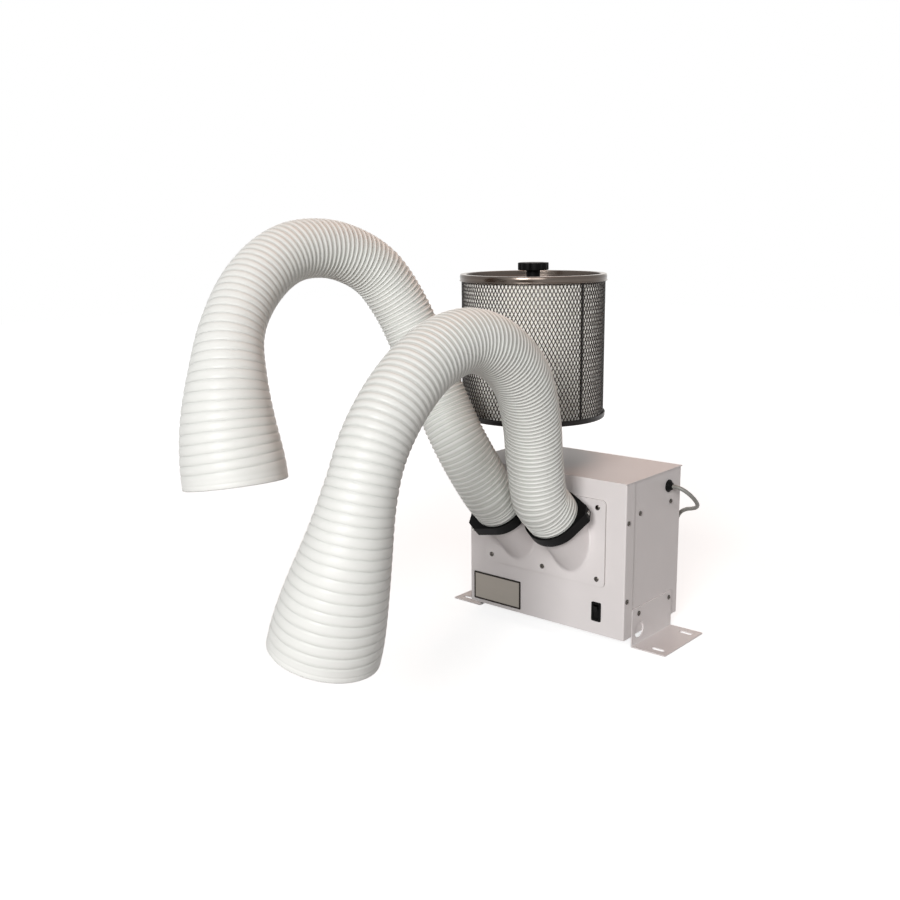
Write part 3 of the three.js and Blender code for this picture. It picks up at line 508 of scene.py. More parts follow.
def through(points, steps=24):
    """A smooth line through points: centripetal Catmull-Rom spans, each a cubic whose end slopes come from
    its neighbours' distances to the power of a half."""
    p = np.asarray(points, float)
    p = np.concatenate([[2 * p[0] - p[1]], p, [2 * p[-1] - p[-2]]])
    a, b, c, d = p[:-3], p[1:-2], p[2:-1], p[3:]
    t0, t1, t2 = (np.sqrt(np.linalg.norm(v - u, axis=1, keepdims=True)) for u, v in ((a, b), (b, c), (c, d)))
    out = ((b - a) / t0 - (c - a) / (t0 + t1) + (c - b) / t1) * t1
    into = ((c - b) / t1 - (d - b) / (t1 + t2) + (d - c) / t2) * t1
    t = np.linspace(0, 1, steps, endpoint=False)[None, :, None]
    b, c, out, into = (v[:, None] for v in (b, c, out, into))
    line = b + out * t + (3 * (c - b) - 2 * out - into) * t**2 + (2 * (b - c) + out + into) * t**3
    return np.concatenate([line.reshape(-1, 3), p[-2:-1]])


def lengths(line):
    """How far along a line each of its points is."""
    return np.concatenate([[0], np.cumsum(np.linalg.norm(np.diff(line, axis=0), axis=1))])


def at(line, distance):
    """Points of a line at given distances along it."""
    along = lengths(line)
    return np.stack([np.interp(distance, along, line[:, i]) for i in range(3)], -1)


def smoothstep(value, low, high):
    """0 below low, 1 above high, and a cubic with level ends between."""
    t = np.clip((value - low) / (high - low), 0, 1)
    return t * t * (3 - 2 * t)


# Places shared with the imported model, in millimetres

COVER_LOW, COVER_HIGH = span("front_cover")
CHASSIS_LOW, CHASSIS_HIGH = span("chassis")
PLATE_LOW, PLATE_HIGH = span("inlet_plate")
SPIGOT_ANGLE = np.radians(45)
SPIGOT_RADIUS = 38.0
SPIGOT_HEIGHT = 165.5
SPIGOT_PITCH = 101.0
COLLAR_START, COLLAR_SHOULDER, COLLAR_END = 48.5, 53.0, 67.5
SEAT = 0.3
ALONG = np.array([0, -np.cos(SPIGOT_ANGLE), np.sin(SPIGOT_ANGLE)])
ACROSS = np.array([0, np.sin(SPIGOT_ANGLE), np.cos(SPIGOT_ANGLE)])
SIDES = {"right": 1, "left": -1}
LUG = {"right": 20.0, "left": 238.0}
LUG_FACE = 56.4
HOSE_RADIUS, HOSE_BORE = 41.7, 37.8
MOUTH_RADIUS, FLARE = 68.5, 235.0
RIB_STEP = 10.8
LOWER_RIBS, BEND_RIBS, WRIST_RIBS, BELL_RIBS = 8, 10, 8, 17
STRAIGHT = 56.0
ROUTE = {
    "right": [
        [58, -190, 306], [71, -216, 370], [90, -268, 441], [98, -340, 490], [97, -400, 502], [100, -470, 484],
        [105, -530, 446], [108, -572, 400], [108, -595, 350], [100, -612, 280], [86, -622, 215],
        [71, -627, 156],
    ],
    "left": [
        [-72, -202, 318], [-100, -207, 371], [-122, -213, 420], [-140, -224, 475], [-160, -242, 532],
        [-176, -275, 580], [-190, -335, 609], [-197, -400, 612], [-196, -450, 596], [-187, -505, 558],
        [-172, -547, 508], [-157, -569, 450], [-147, -579, 392], [-134, -582, 319],
    ],
}


def spigot_foot(arm):
    """Where a spigot's axis meets the inlet plate."""
    return np.array([SIDES[arm] * SPIGOT_PITCH / 2, PLATE_LOW[1], SPIGOT_HEIGHT])


class EXTRACTOR_OT_cord(bpy.types.Operator):
    """Lays the power cord: down behind the cabinet into a neat coil, with its plug, tie and gland"""

    bl_idname = "extractor.cord"
    bl_label = "Power cord"

    diameter = 6.5
    gland = np.array([148.2, 43.3, 238.4])
    outside = 8.0
    lying = 3.65
    coil_middle = np.array([-30.0, 165.0])
    coil_outer, coil_pitch, layer_pitch = 49.0, 8.2, 7.4
    layer_turns, climb_turns = 2.5, 0.5
    tail, plug_radius = 18.0, 11.5
    sleeve_length, groove_pitch, groove_depth = 28.0, 4.0, 0.45
    blade_long, blade_thick, blade_off, pin_off = 6.3, 1.5, 6.35, 5.95
    prong_start, prong_end = 60.0, 78.0
    strap_thick, strap_width, strap_foot = 1.6, 9.0, 0.4
    shoulder_out, shoulder_in, below_bench = 4.0, 2.6, -6.0
    # X, Y and the height as a share of the gland's above the lying cord
    way = [
        [165, 43.5, 0.9983], [174, 46, 0.9834], [182, 52, 0.9514], [186, 61, 0.911], [185, 72, 0.8705],
        [178, 83, 0.8364], [166, 92, 0.8109], [152, 99, 0.7896], [139, 105, 0.7555], [130, 110, 0.7001],
        [126, 113, 0.6234], [125, 115, 0.4956], [124, 116, 0.3593], [120, 117, 0.2187], [109, 117.5, 0.1037],
        [92, 117.5, 0.0356], [70, 117, 0.0066], [45, 116.5, 0], [20, 116, 0], [-5, 116, 0], [-20, 116, 0],
    ]

    def coil(self):
        """Clockwise turns: the radius falls by one pitch a turn in the lower layer, the cord climbs a layer
        in half a turn, and the radius grows again on top; a tail then runs straight towards +X and rises."""
        total = 2 * self.layer_turns + self.climb_turns
        turn = np.linspace(0, total, int(40 * total))
        inward = np.minimum(turn, self.layer_turns)
        outward = np.maximum(turn - self.layer_turns - self.climb_turns, 0)
        radius = self.coil_outer - self.coil_pitch * (inward - outward)
        climb = smoothstep(turn, self.layer_turns, self.layer_turns + self.climb_turns)
        wound = polar(radius, -np.pi / 2 - 2 * np.pi * turn, self.lying + self.layer_pitch * climb)
        wound += [*self.coil_middle, 0]
        share = np.linspace(0, 1, 8)[1:]
        rise = (self.plug_radius - self.lying - self.layer_pitch) * smoothstep(share, 0, 1)
        tail = wound[-1] + np.stack([self.tail * share, 0 * share, rise], -1)
        return np.concatenate([wound, tail])

    def execute(self, context):
        way = np.array(self.way, float)
        way[:, 2] = self.lying + way[:, 2] * (self.gland[2] - self.lying)
        leave = self.gland + (self.outside + SEAT) * X
        wound = self.coil()
        line = np.concatenate([through([leave, *way, wound[0]], 12)[:-1], wound])
        curve = bpy.data.curves.new("power_cord_jacket", "CURVE")
        curve.dimensions = "3D"
        curve.bevel_depth = self.diameter / 2 * MM
        curve.bevel_resolution = 4
        curve.use_fill_caps = True
        spline = curve.splines.new("POLY")
        spline.points.add(len(line) - 1)
        spline.points.foreach_set("co", np.c_[line * MM, np.ones(len(line))].ravel())
        curve.materials.append(jacket())
        cord = bpy.data.objects.new("power_cord_jacket", curve)
        context.scene.collection.objects.link(cord)
        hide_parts("power_cord", "cord_coil")
        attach(cord, "cabinet")

        plug = self.plug(line[-1])
        tie = self.tie()
        self.strain_relief()
        return {"FINISHED"}

    def plug(self, end):
        """A grounded plug along +X: a ribbed sleeve, a body that swells from the sleeve, and three prongs."""
        along = np.linspace(0, self.sleeve_length, 57)
        groove = self.groove_depth * (np.sin(along * 2 * np.pi / self.groove_pitch) > 0.2) * (along > 3)
        sleeve = np.stack([5 + 1.5 * along / self.sleeve_length - groove, along], -1)
        body = np.array([[7.2, 28.8], [9.6, 31], [11.2, 35], [11.5, 38], [11.5, 59], [11.2, 61], [10.2, 62]])
        shell = capped(turned(np.concatenate([sleeve, body]), 32))
        flat = rectangle(-self.blade_long, 0, -self.blade_thick / 2, self.blade_thick / 2)
        blade, faces = plate(rounded(flat, 0.3, 2), self.prong_start, self.prong_end, 0.3)
        blades = [(blade + side * self.blade_off * Y, faces) for side in (-1, 1)]
        pin, faces = capped(turned([[2.4, 60], [2.4, 76], [1.8, 77.4], [0.8, 78]], 16))
        prongs = joined(*blades, (pin + self.pin_off * X, faces))
        start = end + SEAT * X
        shell, prongs = (seated(shape, start, -Z, Y, X) for shape in (shell, prongs))
        moulding = piece("plug_moulding", shell, moulded_plastic(), "plug")
        return [moulding, piece("plug_prongs", prongs, zinc())]

    def tie(self):
        """A strap over all the turns on the side away from the plug: an arch with round shoulders."""
        spare = self.diameter / 2 + 2 * SEAT
        x0 = self.coil_outer - self.coil_pitch * self.layer_turns - spare
        x1 = self.coil_outer + spare
        over = self.lying + self.layer_pitch + spare
        thick, half, bottom = self.strap_thick, self.strap_width / 2, self.strap_foot
        below = self.below_bench
        outer = rounded(rectangle(x0 - thick, x1 + thick, below, over + thick), self.shoulder_out, 6)
        inner = rounded(rectangle(x0, x1, below - 1, over), self.shoulder_in, 6)
        path = np.stack([inner, outer], 1)
        path[..., 1] = np.maximum(path[..., 1], bottom)
        keep = path[:, 1, 1] > bottom
        first = np.flatnonzero(keep & ~np.roll(keep, 1))[0]
        path = np.roll(path, -first, 0)[: keep.sum()]
        feet = path[[0, -1]].copy()
        feet[..., 1] = bottom
        path = np.concatenate([feet[:1], path, feet[1:]])
        out, across = np.array(rectangle(0, 1, -half, half)).T
        flat = path[:, :1] + out[:, None] * (path[:, 1:] - path[:, :1])
        rings = stacked(flat[..., 0], across, flat[..., 1])
        shape = seated(capped(rings), [*self.coil_middle, 0], -X, -Y, Z)
        return piece("cord_tie_strap", shape, moulded_plastic(), "cord_tie")

    def strain_relief(self):
        """A tapered gland: a rounded flange against the wall and a nose that narrows to the cord."""
        profile = [
            [7, -13], [7, 0.2], [9.6, 0.3], [10, 0.8], [10, 2.2], [9.6, 2.7], [8.2, 3], [7.6, 3.6],
            [7.2, 4.4], [6.7, 4.6], [6.5, 5.6], [6.0, 5.8], [5.8, 6.8], [5.3, 7.0], [5.1, 7.7], [4.6, 8],
        ]
        shape = seated(capped(turned(profile, 40)), self.gland, Y, Z, X)
        piece("gland_moulding", shape, moulded_plastic(), "cord_gland")


class EXTRACTOR_OT_cabinet(bpy.types.Operator):
    """Folds the cabinet's sheet steel: front cover, chassis and foot brackets"""

    bl_idname = "extractor.cabinet"
    bl_label = "Cabinet"

    sheet, foot_sheet = 1.5, 2.0
    flange = 24.0
    hole_inset = 1.7
    foot_bend, foot_corner, bend_rows = 3.0, 2.5, 7
    slot_out, slot_inset, slot_half_long, slot_half_wide = 39.0, 17.0, 10.8, 4.0
    wire_up, wire_y, wire_radius = 24.0, -38.0, 13.0

    def folded(self, corners, radius, steps=6):
        """An open line of straight runs whose inner corners are quadratic curves one radius long each way."""
        p = np.asarray(corners, float)
        bends = rounded(p, radius, steps).reshape(len(p), steps + 1, 2)
        return np.concatenate([p[:1], bends[1:-1].reshape(-1, 2), p[-1:]])

    def swept(self, line, heights):
        """A flat line carried through heights: a grid of line points by heights."""
        height = np.repeat(heights, len(line))[:, None]
        points = np.c_[np.tile(line, (len(heights), 1)), height]
        return points, [quads(len(heights), len(line), wrap_cols=False)]

    def cover(self):
        """The front with its two side returns, drawn in X and Y and carried up, less the cells in the
        switch's hole; and the top with the fold to the front, drawn in Y and Z and carried across."""
        fold = sizes().fold / MM
        left, front, low = COVER_LOW
        right, back, top = COVER_HIGH
        inner = front + self.flange
        around = self.folded([[left, inner], [left, front], [right, front], [right, inner]], fold)
        hole_low, hole_high = span("switch_housing") + self.hole_inset * np.array([[1], [-1]])
        half = len(around) // 2
        around = np.concatenate([around[:half], [[hole_low[0], front], [hole_high[0], front]], around[half:]])
        points, (cells,) = self.swept(around, [low, hole_low[2], hole_high[2], top - fold])
        middle = points[cells].mean(1)
        cut = ((middle > hole_low) & (middle < hole_high))[:, [0, 2]].all(1)
        upright = points, [cells[~cut]]
        over = self.folded([[front, top - fold * 1.02], [front, top], [back, top]], fold)
        points, (cells,) = self.swept(over, [left, right])
        lid = points[:, [2, 0, 1]], [cells[:, ::-1]]
        return joined(upright, lid)

    def chassis(self):
        """Both sides and the back as one folded strip drawn in X and Y and carried up, and the bottom."""
        fold = sizes().fold / MM
        left, front, low = CHASSIS_LOW
        right, back, top = CHASSIS_HIGH
        strip = self.folded([[right, front], [right, back], [left, back], [left, front]], fold)
        across = np.array([[left + fold, 0], [right - fold, 0]])
        points, faces = self.swept(across, [front + fold, back - fold])
        return joined(self.swept(strip, [low, top]), (points[:, [0, 2, 1]] + low * Z, faces))

    def bracket(self):
        """The right foot: a flat pattern with two slots and a wire hole, bent along one line. The way along
        the pattern runs in over the flange, round a quarter circle, and up the side."""
        low, high = span("foot_bracket_right")
        bend, rows, steps = self.foot_bend, self.bend_rows, 4
        flange = high[0] - low[0] - bend
        corner = bend * np.pi / 2
        total = flange + corner + high[2] - bend
        front, back = low[1], high[1]
        edge = rounded(rectangle(0, total, front, back), self.foot_corner, steps)
        bends = np.linspace(flange, flange + corner, rows)
        lower, upper = stacked(bends, front), stacked(bends[::-1], back)
        first, _, last = np.arange(1, 4) * (steps + 1)
        outline = np.concatenate([edge[:first], lower, edge[first:last], upper, edge[last:]])
        bend_lines = [(first + i, last + 2 * rows - 1 - i) for i in range(rows)]
        slot_x, long, wide = high[0] - (low[0] + self.slot_out), self.slot_half_long, self.slot_half_wide
        slots = [
            rounded(rectangle(slot_x - long, slot_x + long, y - wide, y + wide), wide - 0.1, 6)
            for y in (front + self.slot_inset, back - self.slot_inset)
        ]
        wire_middle = [flange + corner + self.wire_up - bend, self.wire_y]
        wire = polar(self.wire_radius, turns(40), 0)[:, :2] + wire_middle
        (u, y), faces = (v.T for v in filled(outline, [*slots, wire], bend_lines))
        turn = np.clip((u - flange) / bend, 0, np.pi / 2)
        x = np.where(u < flange, high[0] - u, low[0] + bend - bend * np.sin(turn))
        z = bend - bend * np.cos(turn) + np.maximum(u - flange - corner, 0)
        return np.stack([x, y, z], -1), [faces.T]

    def execute(self, context):
        foot = self.bracket()
        sheets = (
            ("folded_front_cover", self.cover(), "front_cover", self.sheet),
            ("folded_chassis", self.chassis(), "chassis", self.sheet),
            ("bent_foot_right", foot, "foot_bracket_right", self.foot_sheet),
            ("bent_foot_left", mirrored(foot), "foot_bracket_left", self.foot_sheet),
        )
        for name, shape, node, thickness in sheets:
            sheet_metal(piece(name, shape, powder_coat(), node), thickness)
        return {"FINISHED"}


class EXTRACTOR_OT_inlets(bpy.types.Operator):
    """Makes the inlet plate, the two welded spigots and the clamp collars on them"""

    bl_idname = "extractor.inlets"
    bl_label = "Inlet plate and collars"

    plate_corner, plate_edge = 7.0, 0.35
    fillet, fillet_run, wall, proud = 3.5, 4.9, 1.5, 0.25
    grip, bore = SPIGOT_RADIUS + 0.4, HOSE_RADIUS + 0.35
    ring, lug_reach = 46.4, np.radians(44)
    edge_fall, edge_width = 0.9, 1.2

    def spigot(self, arm):
        """A tube at 45 degrees. Its foot lies in the plate's plane, where the way along the axis equals the
        radius times the sine of the angle; a weld fillet draws the radius out there by a square law."""
        angle = turns(96)[None]
        w = np.linspace(0, 1, 9)[:, None]
        foot_r = SPIGOT_RADIUS + self.fillet * (1 - w) ** 2
        foot_t = foot_r * np.sin(angle) + self.fillet_run * w**2
        top_r, top_t = SPIGOT_RADIUS - np.array([[0], [0.5]]), COLLAR_SHOULDER - np.array([[0.6], [0]])
        bore_r = np.full((2, 1), SPIGOT_RADIUS - self.wall)
        bore_t = np.concatenate([np.full_like(angle, COLLAR_SHOULDER), bore_r[1:] * np.sin(angle) + SEAT])
        parts = ((foot_r, top_r, bore_r), (foot_t, top_t, bore_t))
        r, t = (np.concatenate([np.broadcast_to(v, (len(v), angle.size)) for v in part]) for part in parts)
        return seated(hoop(polar(r, angle, t)), spigot_foot(arm) - self.proud * Y, X, ACROSS, ALONG)

    def collar(self, arm):
        """A ring with a clamp lug. Round the ring the outer edge is the ring's radius, and over the lug the
        least of three straight edges: two tangents of the ring and the lug's end face, each its distance from
        the middle over the cosine of the angle to its foot."""
        angle = turns(240)
        turn = np.abs((angle - np.radians(LUG[arm]) + np.pi) % (2 * np.pi) - np.pi)
        lug = np.minimum(self.ring / np.cos(turn - self.lug_reach), LUG_FACE / np.maximum(np.cos(turn), 1e-6))
        outer = np.where(turn < self.lug_reach, lug, self.ring)
        corner_reach = np.array([[0.02], [0.12], [0.12], [0.05]])
        section = rounded(rectangle(0, 1, COLLAR_START, COLLAR_END), corner_reach, 4)
        out, t = section[:, :1], section[:, 1:]
        from_end = np.minimum(t - COLLAR_START, COLLAR_END - t)
        inner = np.where(t < COLLAR_SHOULDER, self.grip, self.bore)
        fall = self.edge_fall * np.clip(1 - from_end / self.edge_width, 0, 1) * (out > 0.5)
        rings = polar(inner + out * (outer - inner) - fall, angle, t)
        return seated(hoop(rings), spigot_foot(arm), X, ACROSS, ALONG)

    def clamp_screw(self, arm):
        """A cheese-head screw across the lug: a short cylinder with a round edge and a straight slot."""
        turn = np.radians(LUG[arm])
        out = np.cos(turn) * X + np.sin(turn) * ACROSS
        across = -np.sin(turn) * X + np.cos(turn) * ACROSS
        middle = spigot_foot(arm) + ALONG * (COLLAR_START + COLLAR_END) / 2 + out * (LUG_FACE - 0.2)
        slot_half, slot_reach, slot_depth = 0.55, 3.7, 0.7
        r = np.array([0.02, 1.2, 2.4, 3.2, 3.6, 3.8, 3.8])[:, None]
        z = np.array([1.5, 1.5, 1.45, 1.35, 1.15, 0.8, -1.0])[:, None]
        angle = turns(40)
        slot = (np.abs(r * np.sin(angle)) < slot_half) & (r < slot_reach)
        return seated(capped(polar(r, angle, z - slot_depth * slot)[::-1]), middle, ALONG, -across, out)

    def execute(self, context):
        shape = front_plate(PLATE_LOW, PLATE_HIGH, self.plate_corner, 8, self.plate_edge)
        piece("pressed_inlet_plate", shape, powder_coat(), "inlet_plate")
        for arm in SIDES:
            body = f"arm_{arm}"
            piece(f"welded_spigot_{arm}", self.spigot(arm), powder_coat(), f"spigot_{arm}")
            piece(f"clamp_collar_{arm}", self.collar(arm), moulded_plastic(), f"collar_{arm}", body=body)
            piece(f"clamp_screw_{arm}", self.clamp_screw(arm), zinc(), f"collar_screw_{arm}", body=body)
        return {"FINISHED"}


class EXTRACTOR_OT_hoses(bpy.types.Operator):
    """Makes the two ribbed vinyl hose arms, each in two pieces that meet at the top of the arch"""

    bl_idname = "extractor.hoses"
    bl_label = "Hose arms"

    rows_per_rib, rows_per_inner_row = 10, 4
    # Shares of the hose's length where its pitch starts to grow, and where the arch turns into the leg
    stretch_from, leg_from, leg_to = 0.4, 0.45, 0.85
    # Shares of a pitch: half a rib on the arch, what it gains on the leg, and half the painted shade line
    rib_half, rib_gain, line_half = 0.25, 0.17, 0.06
    # How much lower and squarer ribs are on the leg, how far its bands are spared the painted valley shade,
    # and how strong the painted shade line is
    leg_flat, leg_square, leg_pale, line_arch, line_leg = 0.3, 0.4, 0.85, 0.6, 0.4
    # Where the painted shade line sits in a pitch, and the bore's share of crest colour over the painted
    # valley shade
    line_middle, bore_crest = 0.55, 0.6
    cuff_from, cuff_to, cuff_inset = 20.0, 12.0, 0.3
    bead_from_end, bead_half, bead_depth = 7.0, 0.8, 0.5
    lip_width, lip_depth = 1.5, 1.2

    def centre_line(self, arm):
        """Straight out of the collar for two thirds of a diameter, then smoothly along the arm's route."""
        start = COLLAR_SHOULDER + SEAT
        straight = [spigot_foot(arm) + ALONG * (start + share * STRAIGHT) for share in (0, 0.5, 1)]
        return through([*straight, *np.array(ROUTE[arm], float)], 40)

    def relief(self, s, phase, total):
        """How far the surface lies from the smooth hose, how much of it is crest colour rather than painted
        valley shade, and how much is painted shade line.

        Over each pitch the height is a round rib and a level band: the rib is narrow on the arch, and broad
        and low on the leg, where only a thin groove is left between ribs. The ribs fade into a plain cuff at
        the mouth, which has a sunk line and a drawn-in lip."""
        leg = smoothstep(s, self.leg_from * total, self.leg_to * total)
        cuff = smoothstep(s, total - self.cuff_from, total - self.cuff_to)
        half = self.rib_half + self.rib_gain * leg
        bump = np.sqrt(np.clip(1 - ((phase - 0.5) / half) ** 2, 0, 1)) ** (1 - self.leg_square * leg)
        under = np.exp(-(((phase - self.line_middle - half) / self.line_half) ** 2))
        groove = np.exp(-((np.minimum(phase, 1 - phase) / self.line_half) ** 2))
        bead = self.bead_depth * np.exp(-(((s - total + self.bead_from_end) / self.bead_half) ** 2))
        lip = self.lip_depth * smoothstep(s, total - self.lip_width, total)
        rib = sizes().rib / MM * (1 - self.leg_flat * leg)
        height = -rib * (1 - bump) * (1 - cuff) - self.cuff_inset * cuff - bead - lip
        # Crest colour against painted valley shade: full on a rib, and mostly so on the leg's bands and the
        # cuff
        crest = np.maximum(bump, np.maximum(self.leg_pale * leg, cuff))
        # Painted shade: a thin dark line under each rib on the arch, and in the groove between ribs on the
        # leg
        shade = (self.line_arch * (1 - leg) * under + self.line_leg * leg * groove) * (1 - cuff)
        return height, crest, shade

    def hose(self, arm, line, low, high):
        """Rings along the middle line from one distance to another. The pitch of the ribs grows by a smooth
        step from the collar to the mouth, and the count of ribs up to a point is the sum of one over the
        pitch; the ribs wind as a helix, one turn to a rib. The radius swells by a smooth step to the
        mouth."""
        total = lengths(line)[-1]
        near, far = sizes().pitch_near / MM, sizes().pitch_far / MM
        fine = np.linspace(0, total, 2000)
        density = 1 / (near + (far - near) * smoothstep(fine, self.stretch_from * total, total))
        tally = np.concatenate([[0], np.cumsum((density[1:] + density[:-1]) / 2 * np.diff(fine))])
        first, last = np.interp([low, high], fine, tally)
        count = np.linspace(first, last, int((last - first) * self.rows_per_rib) + 1)[:, None]
        s = np.interp(count, tally, fine)
        angle = turns(sizes().around)
        height, crest, shade = self.relief(s, (count - angle / (2 * np.pi)) % 1, total)
        step = self.rows_per_inner_row
        inner_s = s[::-step] if len(s) % step == 1 else np.concatenate([s[::-step], s[:1]])
        plain = np.zeros((len(inner_s), angle.size))
        distance = np.concatenate([s, inner_s])[:, 0]
        swell = (MOUTH_RADIUS - HOSE_RADIUS) * smoothstep(distance, total - FLARE, total)[:, None]
        radius = np.concatenate([HOSE_RADIUS + height, HOSE_BORE + plain]) + swell
        crest, shade = np.concatenate([crest, plain + self.bore_crest]), np.concatenate([shade, plain])
        marks = {"crest": crest, "shade": shade}

        tangent = at(line, np.minimum(distance + 0.5, total)) - at(line, np.maximum(distance - 0.5, 0))
        tangent /= np.linalg.norm(tangent, axis=1, keepdims=True)
        reach = line[-1] - spigot_foot(arm)
        normal = np.cross(tangent, [-reach[1], reach[0], 0])
        normal /= np.linalg.norm(normal, axis=1, keepdims=True)
        across = np.cross(normal, tangent)
        flat = polar(radius, angle, 0)
        off = flat[..., :1] * across[:, None] + flat[..., 1:2] * normal[:, None]
        return hoop(at(line, distance)[:, None] + off), marks

    def execute(self, context):
        material = vinyl()
        for arm in SIDES:
            line = self.centre_line(arm)
            total = lengths(line)[-1]
            count = round(total / RIB_STEP)
            bend = np.array([LOWER_RIBS, LOWER_RIBS + BEND_RIBS]) * RIB_STEP
            wrist = np.array([count - BELL_RIBS - WRIST_RIBS, count - BELL_RIBS]) * RIB_STEP
            middle = (bend[1] + wrist[0]) / 2
            runs = (
                ("lower", 0.0, middle, bend, f"arm_{arm}", f"arm_{arm}_arch", ("lower", "bend", "arch")),
                ("upper", middle, total, wrist, f"arm_{arm}_arch", f"arm_{arm}_bell", ("wrist", "bell")),
            )
            for name, low, high, flex, body, beyond, parts in runs:
                shape, marks = self.hose(arm, line, low, high)
                nodes = [f"hose_{arm}_{part}" for part in parts]
                made = piece(
                    f"vinyl_hose_{arm}_{name}", shape, material, *nodes, crease=60, marks=marks, ride=False
                )
                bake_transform(made)
        return {"FINISHED"}


class EXTRACTOR_OT_filter(bpy.types.Operator):
    """Makes the filter cartridge: caps, expanded-steel screen, pleated paper, seam, neck and knob"""

    bl_idname = "extractor.filter"
    bl_label = "Filter"

    middle = np.array([-85.0, 0, 0])
    gauge, pan_depth, rim_width = 1.2, 9.0, 10.0
    strand_rows, strand_width, strand_thick, strand_lean = 5.9, 1.25, 0.7, np.radians(10)
    seam, seam_half, seam_in, seam_out = np.radians(-13.0), 1.0, 1.2, 1.0
    pleat_depth, pleat_power, paper_inset, paper_bore = 4.0, 14, 0.8, 80.0
    lobes, lobe_depth, stem_height = 8, 3.0, 14.0

    def on_axis(self, name, shape, material, *nodes, body="filter", crease=38):
        """A piece whose shape is made about the Z axis and moved to the filter's axis."""
        points, faces = shape
        return piece(name, (points + self.middle, faces), material, *nodes, body=body, crease=crease)

    def caps(self):
        """Closed profiles of radius and height turned about the axis: a rolled rim with a sunk pan above, and
        a shallow dish with a beaded edge below."""
        low, high = span("filter_top_cap")
        radius, top, gauge = (high[0] - low[0]) / 2, high[2], self.gauge
        pan, inner, hole, outlet = top - self.pan_depth, radius - self.rim_width, 5.6, 38.4
        rim = [
            [hole, pan - gauge], [inner + gauge, pan - gauge], [inner + gauge, top - gauge],
            [radius - gauge, top - gauge], [radius - gauge, top - 11.2], [radius + 0.5, top - 11.2],
            [radius + 0.5, top - 9.6], [radius - 0.7, top - 9], [radius, top - 4.5], [radius - 0.9, top],
            [inner, top], [inner, pan],
            [66, pan], [64, pan + 1.2], [40, pan + 1.2], [38, pan], [hole, pan],
        ]
        shape = hoop(turned(rounded(rim, 1.4, 4), 128))
        # The top cap's dark tone is painted reflection of dark surroundings.
        self.on_axis("rolled_top_cap", shape, rolled_steel_dark_reflection(), "filter_top_cap")
        low, high = span("filter_bottom_cap")
        base, edge = low[2], high[2]
        dish = [
            [outlet, base], [radius - 1.5, base], [radius, base + 1.5], [radius, edge - 2.4],
            [radius + 0.6, edge - 1.6], [radius + 0.4, edge], [radius - gauge, edge],
            [radius - gauge, base + gauge], [outlet, base + gauge],
        ]
        shape = hoop(turned(rounded(dish, 0.8, 3), 128))
        self.on_axis("rolled_bottom_cap", shape, dark_enamel(), "filter_bottom_cap")

    def screen(self):
        """Expanded steel: rows of knots half a diamond apart, every second row turned by half a column. Each
        knot sends a strand up to the left and one up to the right; a strand is a flat bar of four corners at
        each end, and its face leans upwards a little. A dark strip covers the screen's seam."""
        low, high = span("filter_screen")
        radius = (high[0] - low[0]) / 2 - 0.4
        bottom, top = low[2] + 2, span("filter_top_cap")[0][2] + 1.5
        columns, rows = sizes().columns, int(round((top - bottom) / self.strand_rows))
        step, pitch = (top - bottom) / rows, 2 * np.pi / columns
        grid = np.meshgrid(np.arange(columns), np.arange(rows), [-0.5, 0.5], indexing="ij")
        column, row, side = (v.ravel()[:, None] for v in grid)
        angle = (column + 0.5 * (row % 2) + side * [0, 1]) * pitch
        height = bottom + (row + [0, 1]) * step
        out, round_about = polar(1, angle, 0), polar(1, angle + np.pi / 2, 0)
        slope = np.arctan2(step, side * pitch * radius)[..., None]
        flat = -np.sin(slope) * round_about + np.cos(slope) * Z
        flat = flat * np.sign(flat[..., 2:])
        lean = self.strand_lean
        broad = (np.cos(lean) * flat - np.sin(lean) * out)[:, :, None]
        face = (np.cos(lean) * out + np.sin(lean) * flat)[:, :, None]
        u, v = np.array(rectangle(-0.5, 0.5, -0.5, 0.5)).T[..., None]
        knot = polar(radius, angle, height)[:, :, None]
        bar = knot + u * self.strand_width * broad + v * self.strand_thick * face
        ring = np.array([[0, 1, 5, 4], [1, 2, 6, 5], [2, 3, 7, 6], [3, 0, 4, 7]])
        faces = np.where(side[..., None] > 0, ring, ring[:, ::-1]) + 8 * np.arange(len(row))[:, None, None]
        shape = bar.reshape(-1, 3), [faces.reshape(-1, 4)]
        # The strands' near-black is painted dark reflection.
        made = self.on_axis("expanded_steel_screen", shape, expanded_steel(), "filter_screen")
        # Light scattered by the many bright cut edges keeps the real paper white, so no strand shades it.
        made.visible_shadow = False
        left, right = self.seam + np.array([-1, 1]) * self.seam_half / radius
        r, angle = np.array(rectangle(radius - self.seam_in, radius + self.seam_out, left, right)).T
        self.on_axis("screen_seam", plate(polar(r, angle, 0)[:, :2], bottom, top, 0.3), dark_enamel())

    def paper(self):
        """Pleats: the radius is the tips' less the pleat depth times a high power of a cosine of the angle,
        so the tips are broad and the gaps between them narrow."""
        low, high = span("filter_media")
        pleats = sizes().pleats
        angle = turns(pleats * 10)
        gap = (0.5 - 0.5 * np.cos(pleats * angle)) ** self.pleat_power
        tips = (high[0] - low[0]) / 2 - self.paper_inset - self.pleat_depth * gap
        bore = np.full_like(tips, self.paper_bore)
        z = np.array([low[2], high[2], high[2], low[2]])[:, None]
        shape = hoop(polar(np.stack([tips, tips, bore, bore]), angle, z))
        self.on_axis("pleated_paper", shape, filter_paper(), "filter_media", crease=80)

